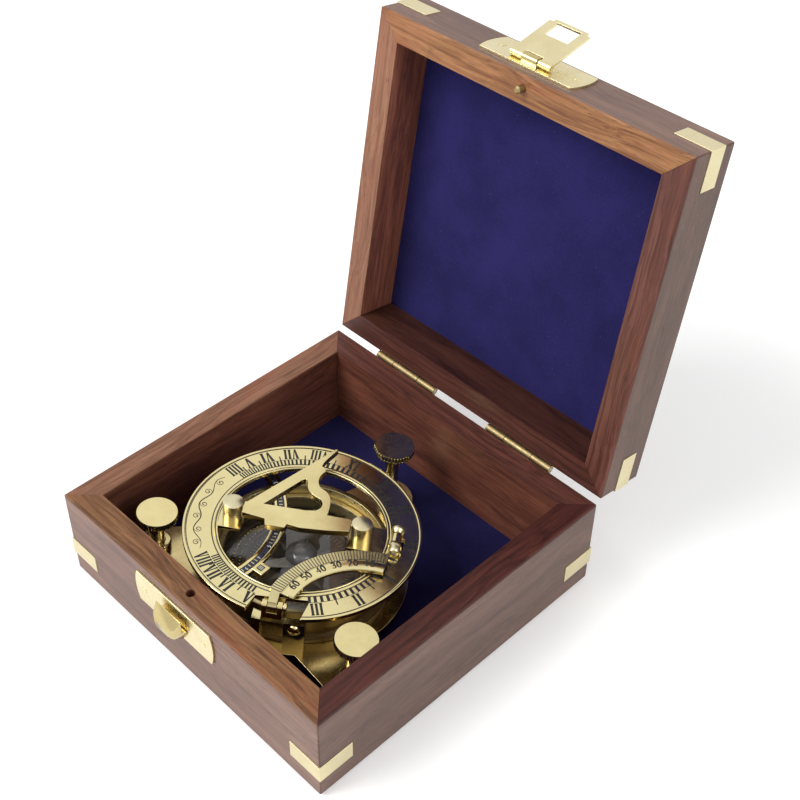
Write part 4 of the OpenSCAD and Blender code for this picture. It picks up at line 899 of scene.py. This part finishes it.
# levelling screws; neck, under, knurl and rim are steps of (radius, height) from the shank or the head's faces
screwValues = {
    "angles": {"level_screw_back": 60.8, "level_screw_left": 180.8, "level_screw_right": -59.2}, "at": 48.4,
    "length": 27.3, "shank": 2.4, "head": 7.0, "headHeight": 3.6, "standsOn": 4.7, "clear": 0.03, "ballRings": 7,
    "neck": [(0, -1.4), (0.4, -1.0), (0.9, -0.1)], "under": [(-2.0, 0), (-0.75, 0.5), (-0.45, 0.8), (-0.35, 1.3)],
    "knurlLow": [(0, 1.5), (0, 1.8)], "knurlHigh": [(0, -0.4), (-0.06, -0.2)], "rim": [(-0.3, 0), (-1.6, 0)],
    "teeth": 40, "toothDepth": 0.6, "groove": (-1.0, -0.22), "grooveWide": 0.36, "grooveEnds": (1.7, -0.42),
}


def makeLevelScrew(node, angle, v):
    # a turned outline; the knurl waves its radius by 1 + d (cos(n a) - 1) / 2r
    lean, seat = np.radians(standing["lean"]), instrumentPlace[2] - v["standsOn"] - v["clear"]
    sinks = v["at"] * np.cos(np.radians(angle - standing["leanFrom"])) * np.sin(lean)
    shank, head = v["shank"], v["head"]
    tip = (shank - seat + sinks) / np.cos(lean)
    top = tip - shank + v["length"]
    low = top - v["headHeight"]

    def stepped(key, r, z):
        return [(r + out, z + up) for out, up in v[key]]

    profile = (shank * unit(np.linspace(-90, 0, v["ballRings"])) + [0, tip]).tolist()
    profile += stepped("neck", shank, low) + stepped("under", head, low)
    knurlStart = len(profile)
    profile += stepped("knurlLow", head, low) + stepped("knurlHigh", head, top)
    knurlEnd = len(profile)
    profile += stepped("rim", head, top) + [(0, top)]
    steps = v["teeth"] * 4
    points, faces = carried(profile, steps=steps, closed=False)
    points = points.reshape(steps, len(profile), 3)
    wave = 0.5 * v["toothDepth"] * (np.cos(np.arange(steps) * np.pi / 2) - 1) / head
    points[:, knurlStart:knurlEnd, :2] *= 1 + wave[:, None, None]
    place = v["at"] * unit(angle)
    makePiece(node.replace("level_screw", "levelScrew"), moved((points.reshape(-1, 3), faces), place), "screw",
              bodyOf[node], replaced=(node,), sharp=25)
    # dark bars at the bottom of each groove of the knurl, as painted shade in the knurl's hollows
    grooves = radialQuads((np.arange(v["teeth"]) + 0.5) * 360 / v["teeth"], head + v["groove"][0],
                          head + v["groove"][1], v["grooveWide"])
    grooves = prisms(grooves + place, low + v["grooveEnds"][0], top + v["grooveEnds"][1])
    makePiece(node.replace("level_screw", "levelGrooveShade"), grooves, "ink", bodyOf[node])


for node, angle in screwValues["angles"].items():
    makeLevelScrew(node, angle, screwValues)
print("levelling screws made")

# rolled sheet round the hasp's pin
curlValues = {"x": -4.2, "y": -63.355, "z": 7.0, "length": 6.0, "radius": 1.68, "sheet": 0.5, "from": -100, "to": 150,
              "steps": 30}


def makeCurl(v):
    # an open ring of sheet about the pin, carried along X
    arc = unit(np.linspace(v["from"], v["to"], v["steps"]))
    outline = np.concatenate([v["radius"] * arc, (v["radius"] - v["sheet"]) * arc[::-1]])
    count = len(outline)
    rows = [np.column_stack([np.full(count, v["x"] + side * v["length"] / 2), v["y"] - outline[:, 0],
                             v["z"] + outline[:, 1]]) for side in (-1, 1)]
    faces = gridFaces(2, count, False, True)
    half = count // 2
    for row, flip in ((0, 1), (1, -1)):
        faces += [[row * count + k for k in (i, i + 1, count - 2 - i, count - 1 - i)][::flip] for i in range(half - 1)]
    makePiece("latchCurl", (np.concatenate(rows), faces), "pressed", "lid", toLid, sharp=40)


makeCurl(curlValues)

# edges softened on the CAD's own shapes, in millimetres
softEdges = {
    "wall_front": 0.3, "wall_back": 0.3, "wall_left": 0.3, "wall_right": 0.3, "lid_front": 0.3, "lid_back": 0.3,
    "lid_left": 0.3, "lid_right": 0.3, "hour_ring": 0.3, "gnomon": 0.8, "latitude_arc": 0.2, "base_plate": 0.4,
    "drum": 0.3, "bezel": 0.25, "gnomon_posts": 0.3, "catch_plate": 0.2, "latch_plate": 0.2, "hasp": 0.3,
    "base_inlay": 0.1, "lid_inlay": 0.1, "arc_clamp": 0.3, "arc_fork": 0.3, "cross_slider": 0.25, "catch_dome": 0.9,
    "catch_rivets": 0.2, "latch_rivets": 0.2, "ring_bracket": 0.2, "arc_pin": 0.3,
}
roundOver = {"catch_dome": 62}   # degrees between faces that still shade as one surface
for node, width in softEdges.items():
    first, *others = node.split("_")
    name = first + "".join(part.capitalize() for part in others) + "Soft"
    softenNode(node, name, width, 3 if width > 0.3 else 2, roundOver.get(node, meshValues["edge"]))
print("edges softened")


# floor and world; what the camera and the mirrors see of them is brighter than the light they give
floorValues = {"half": 4.0, "height": -0.0002, "dark": 0.86, "light": 0.89, "rough": 0.9, "glow": 0.22}   # metres
worldValues = {"given": 0.55, "seen": 1.0}


def seenDirectly(tree):
    # 1 for rays from the camera, off shiny surfaces and through glass, 0 for scattered light
    path = put(tree, "ShaderNodeLightPath").outputs
    straight = sums(tree, "MAXIMUM", path["Is Camera Ray"], path["Is Glossy Ray"])
    return sums(tree, "MAXIMUM", straight, path["Is Transmission Ray"])


def makeFloor(v):
    mesh = bpy.data.meshes.new("studioFloor")
    corners = [(x * v["half"], y * v["half"], v["height"]) for x, y in ((-1, -1), (1, -1), (1, 1), (-1, 1))]
    mesh.from_pydata(corners, [], [[0, 1, 2, 3]])
    floor = addObject("studioFloor", mesh)
    material, tree, shader, vector = startMaterial("studioFloor", *plain)
    tone = fit(tree, noiseOf(tree, vector, (1, 1, 1), scale=0.01), 0.3, 0.7)
    colour = blendColour(tree, tone, (v["dark"],) * 3, (v["light"],) * 3)
    feed(tree, shader, [("Base Color", colour), ("Roughness", v["rough"])])
    strength = sums(tree, "MULTIPLY", seenDirectly(tree), v["glow"])
    glow = put(tree, "ShaderNodeEmission", [("Color", (1, 1, 1, 1)), ("Strength", strength)])
    both = put(tree, "ShaderNodeAddShader", [(0, shader.outputs[0]), (1, glow.outputs[0])])
    feed(tree, tree.nodes["Material Output"], [("Surface", both.outputs[0])])
    mesh.materials.append(material)


def makeWorld(v):
    world = bpy.data.worlds.new("studio")
    bpy.context.scene.world = world
    world.use_nodes = True
    tree = world.node_tree
    strength = fit(tree, seenDirectly(tree), 0, 1, v["given"], v["seen"])
    feed(tree, tree.nodes["Background"], [("Color", (1, 1, 1, 1)), ("Strength", strength)])


makeFloor(floorValues)
makeWorld(worldValues)
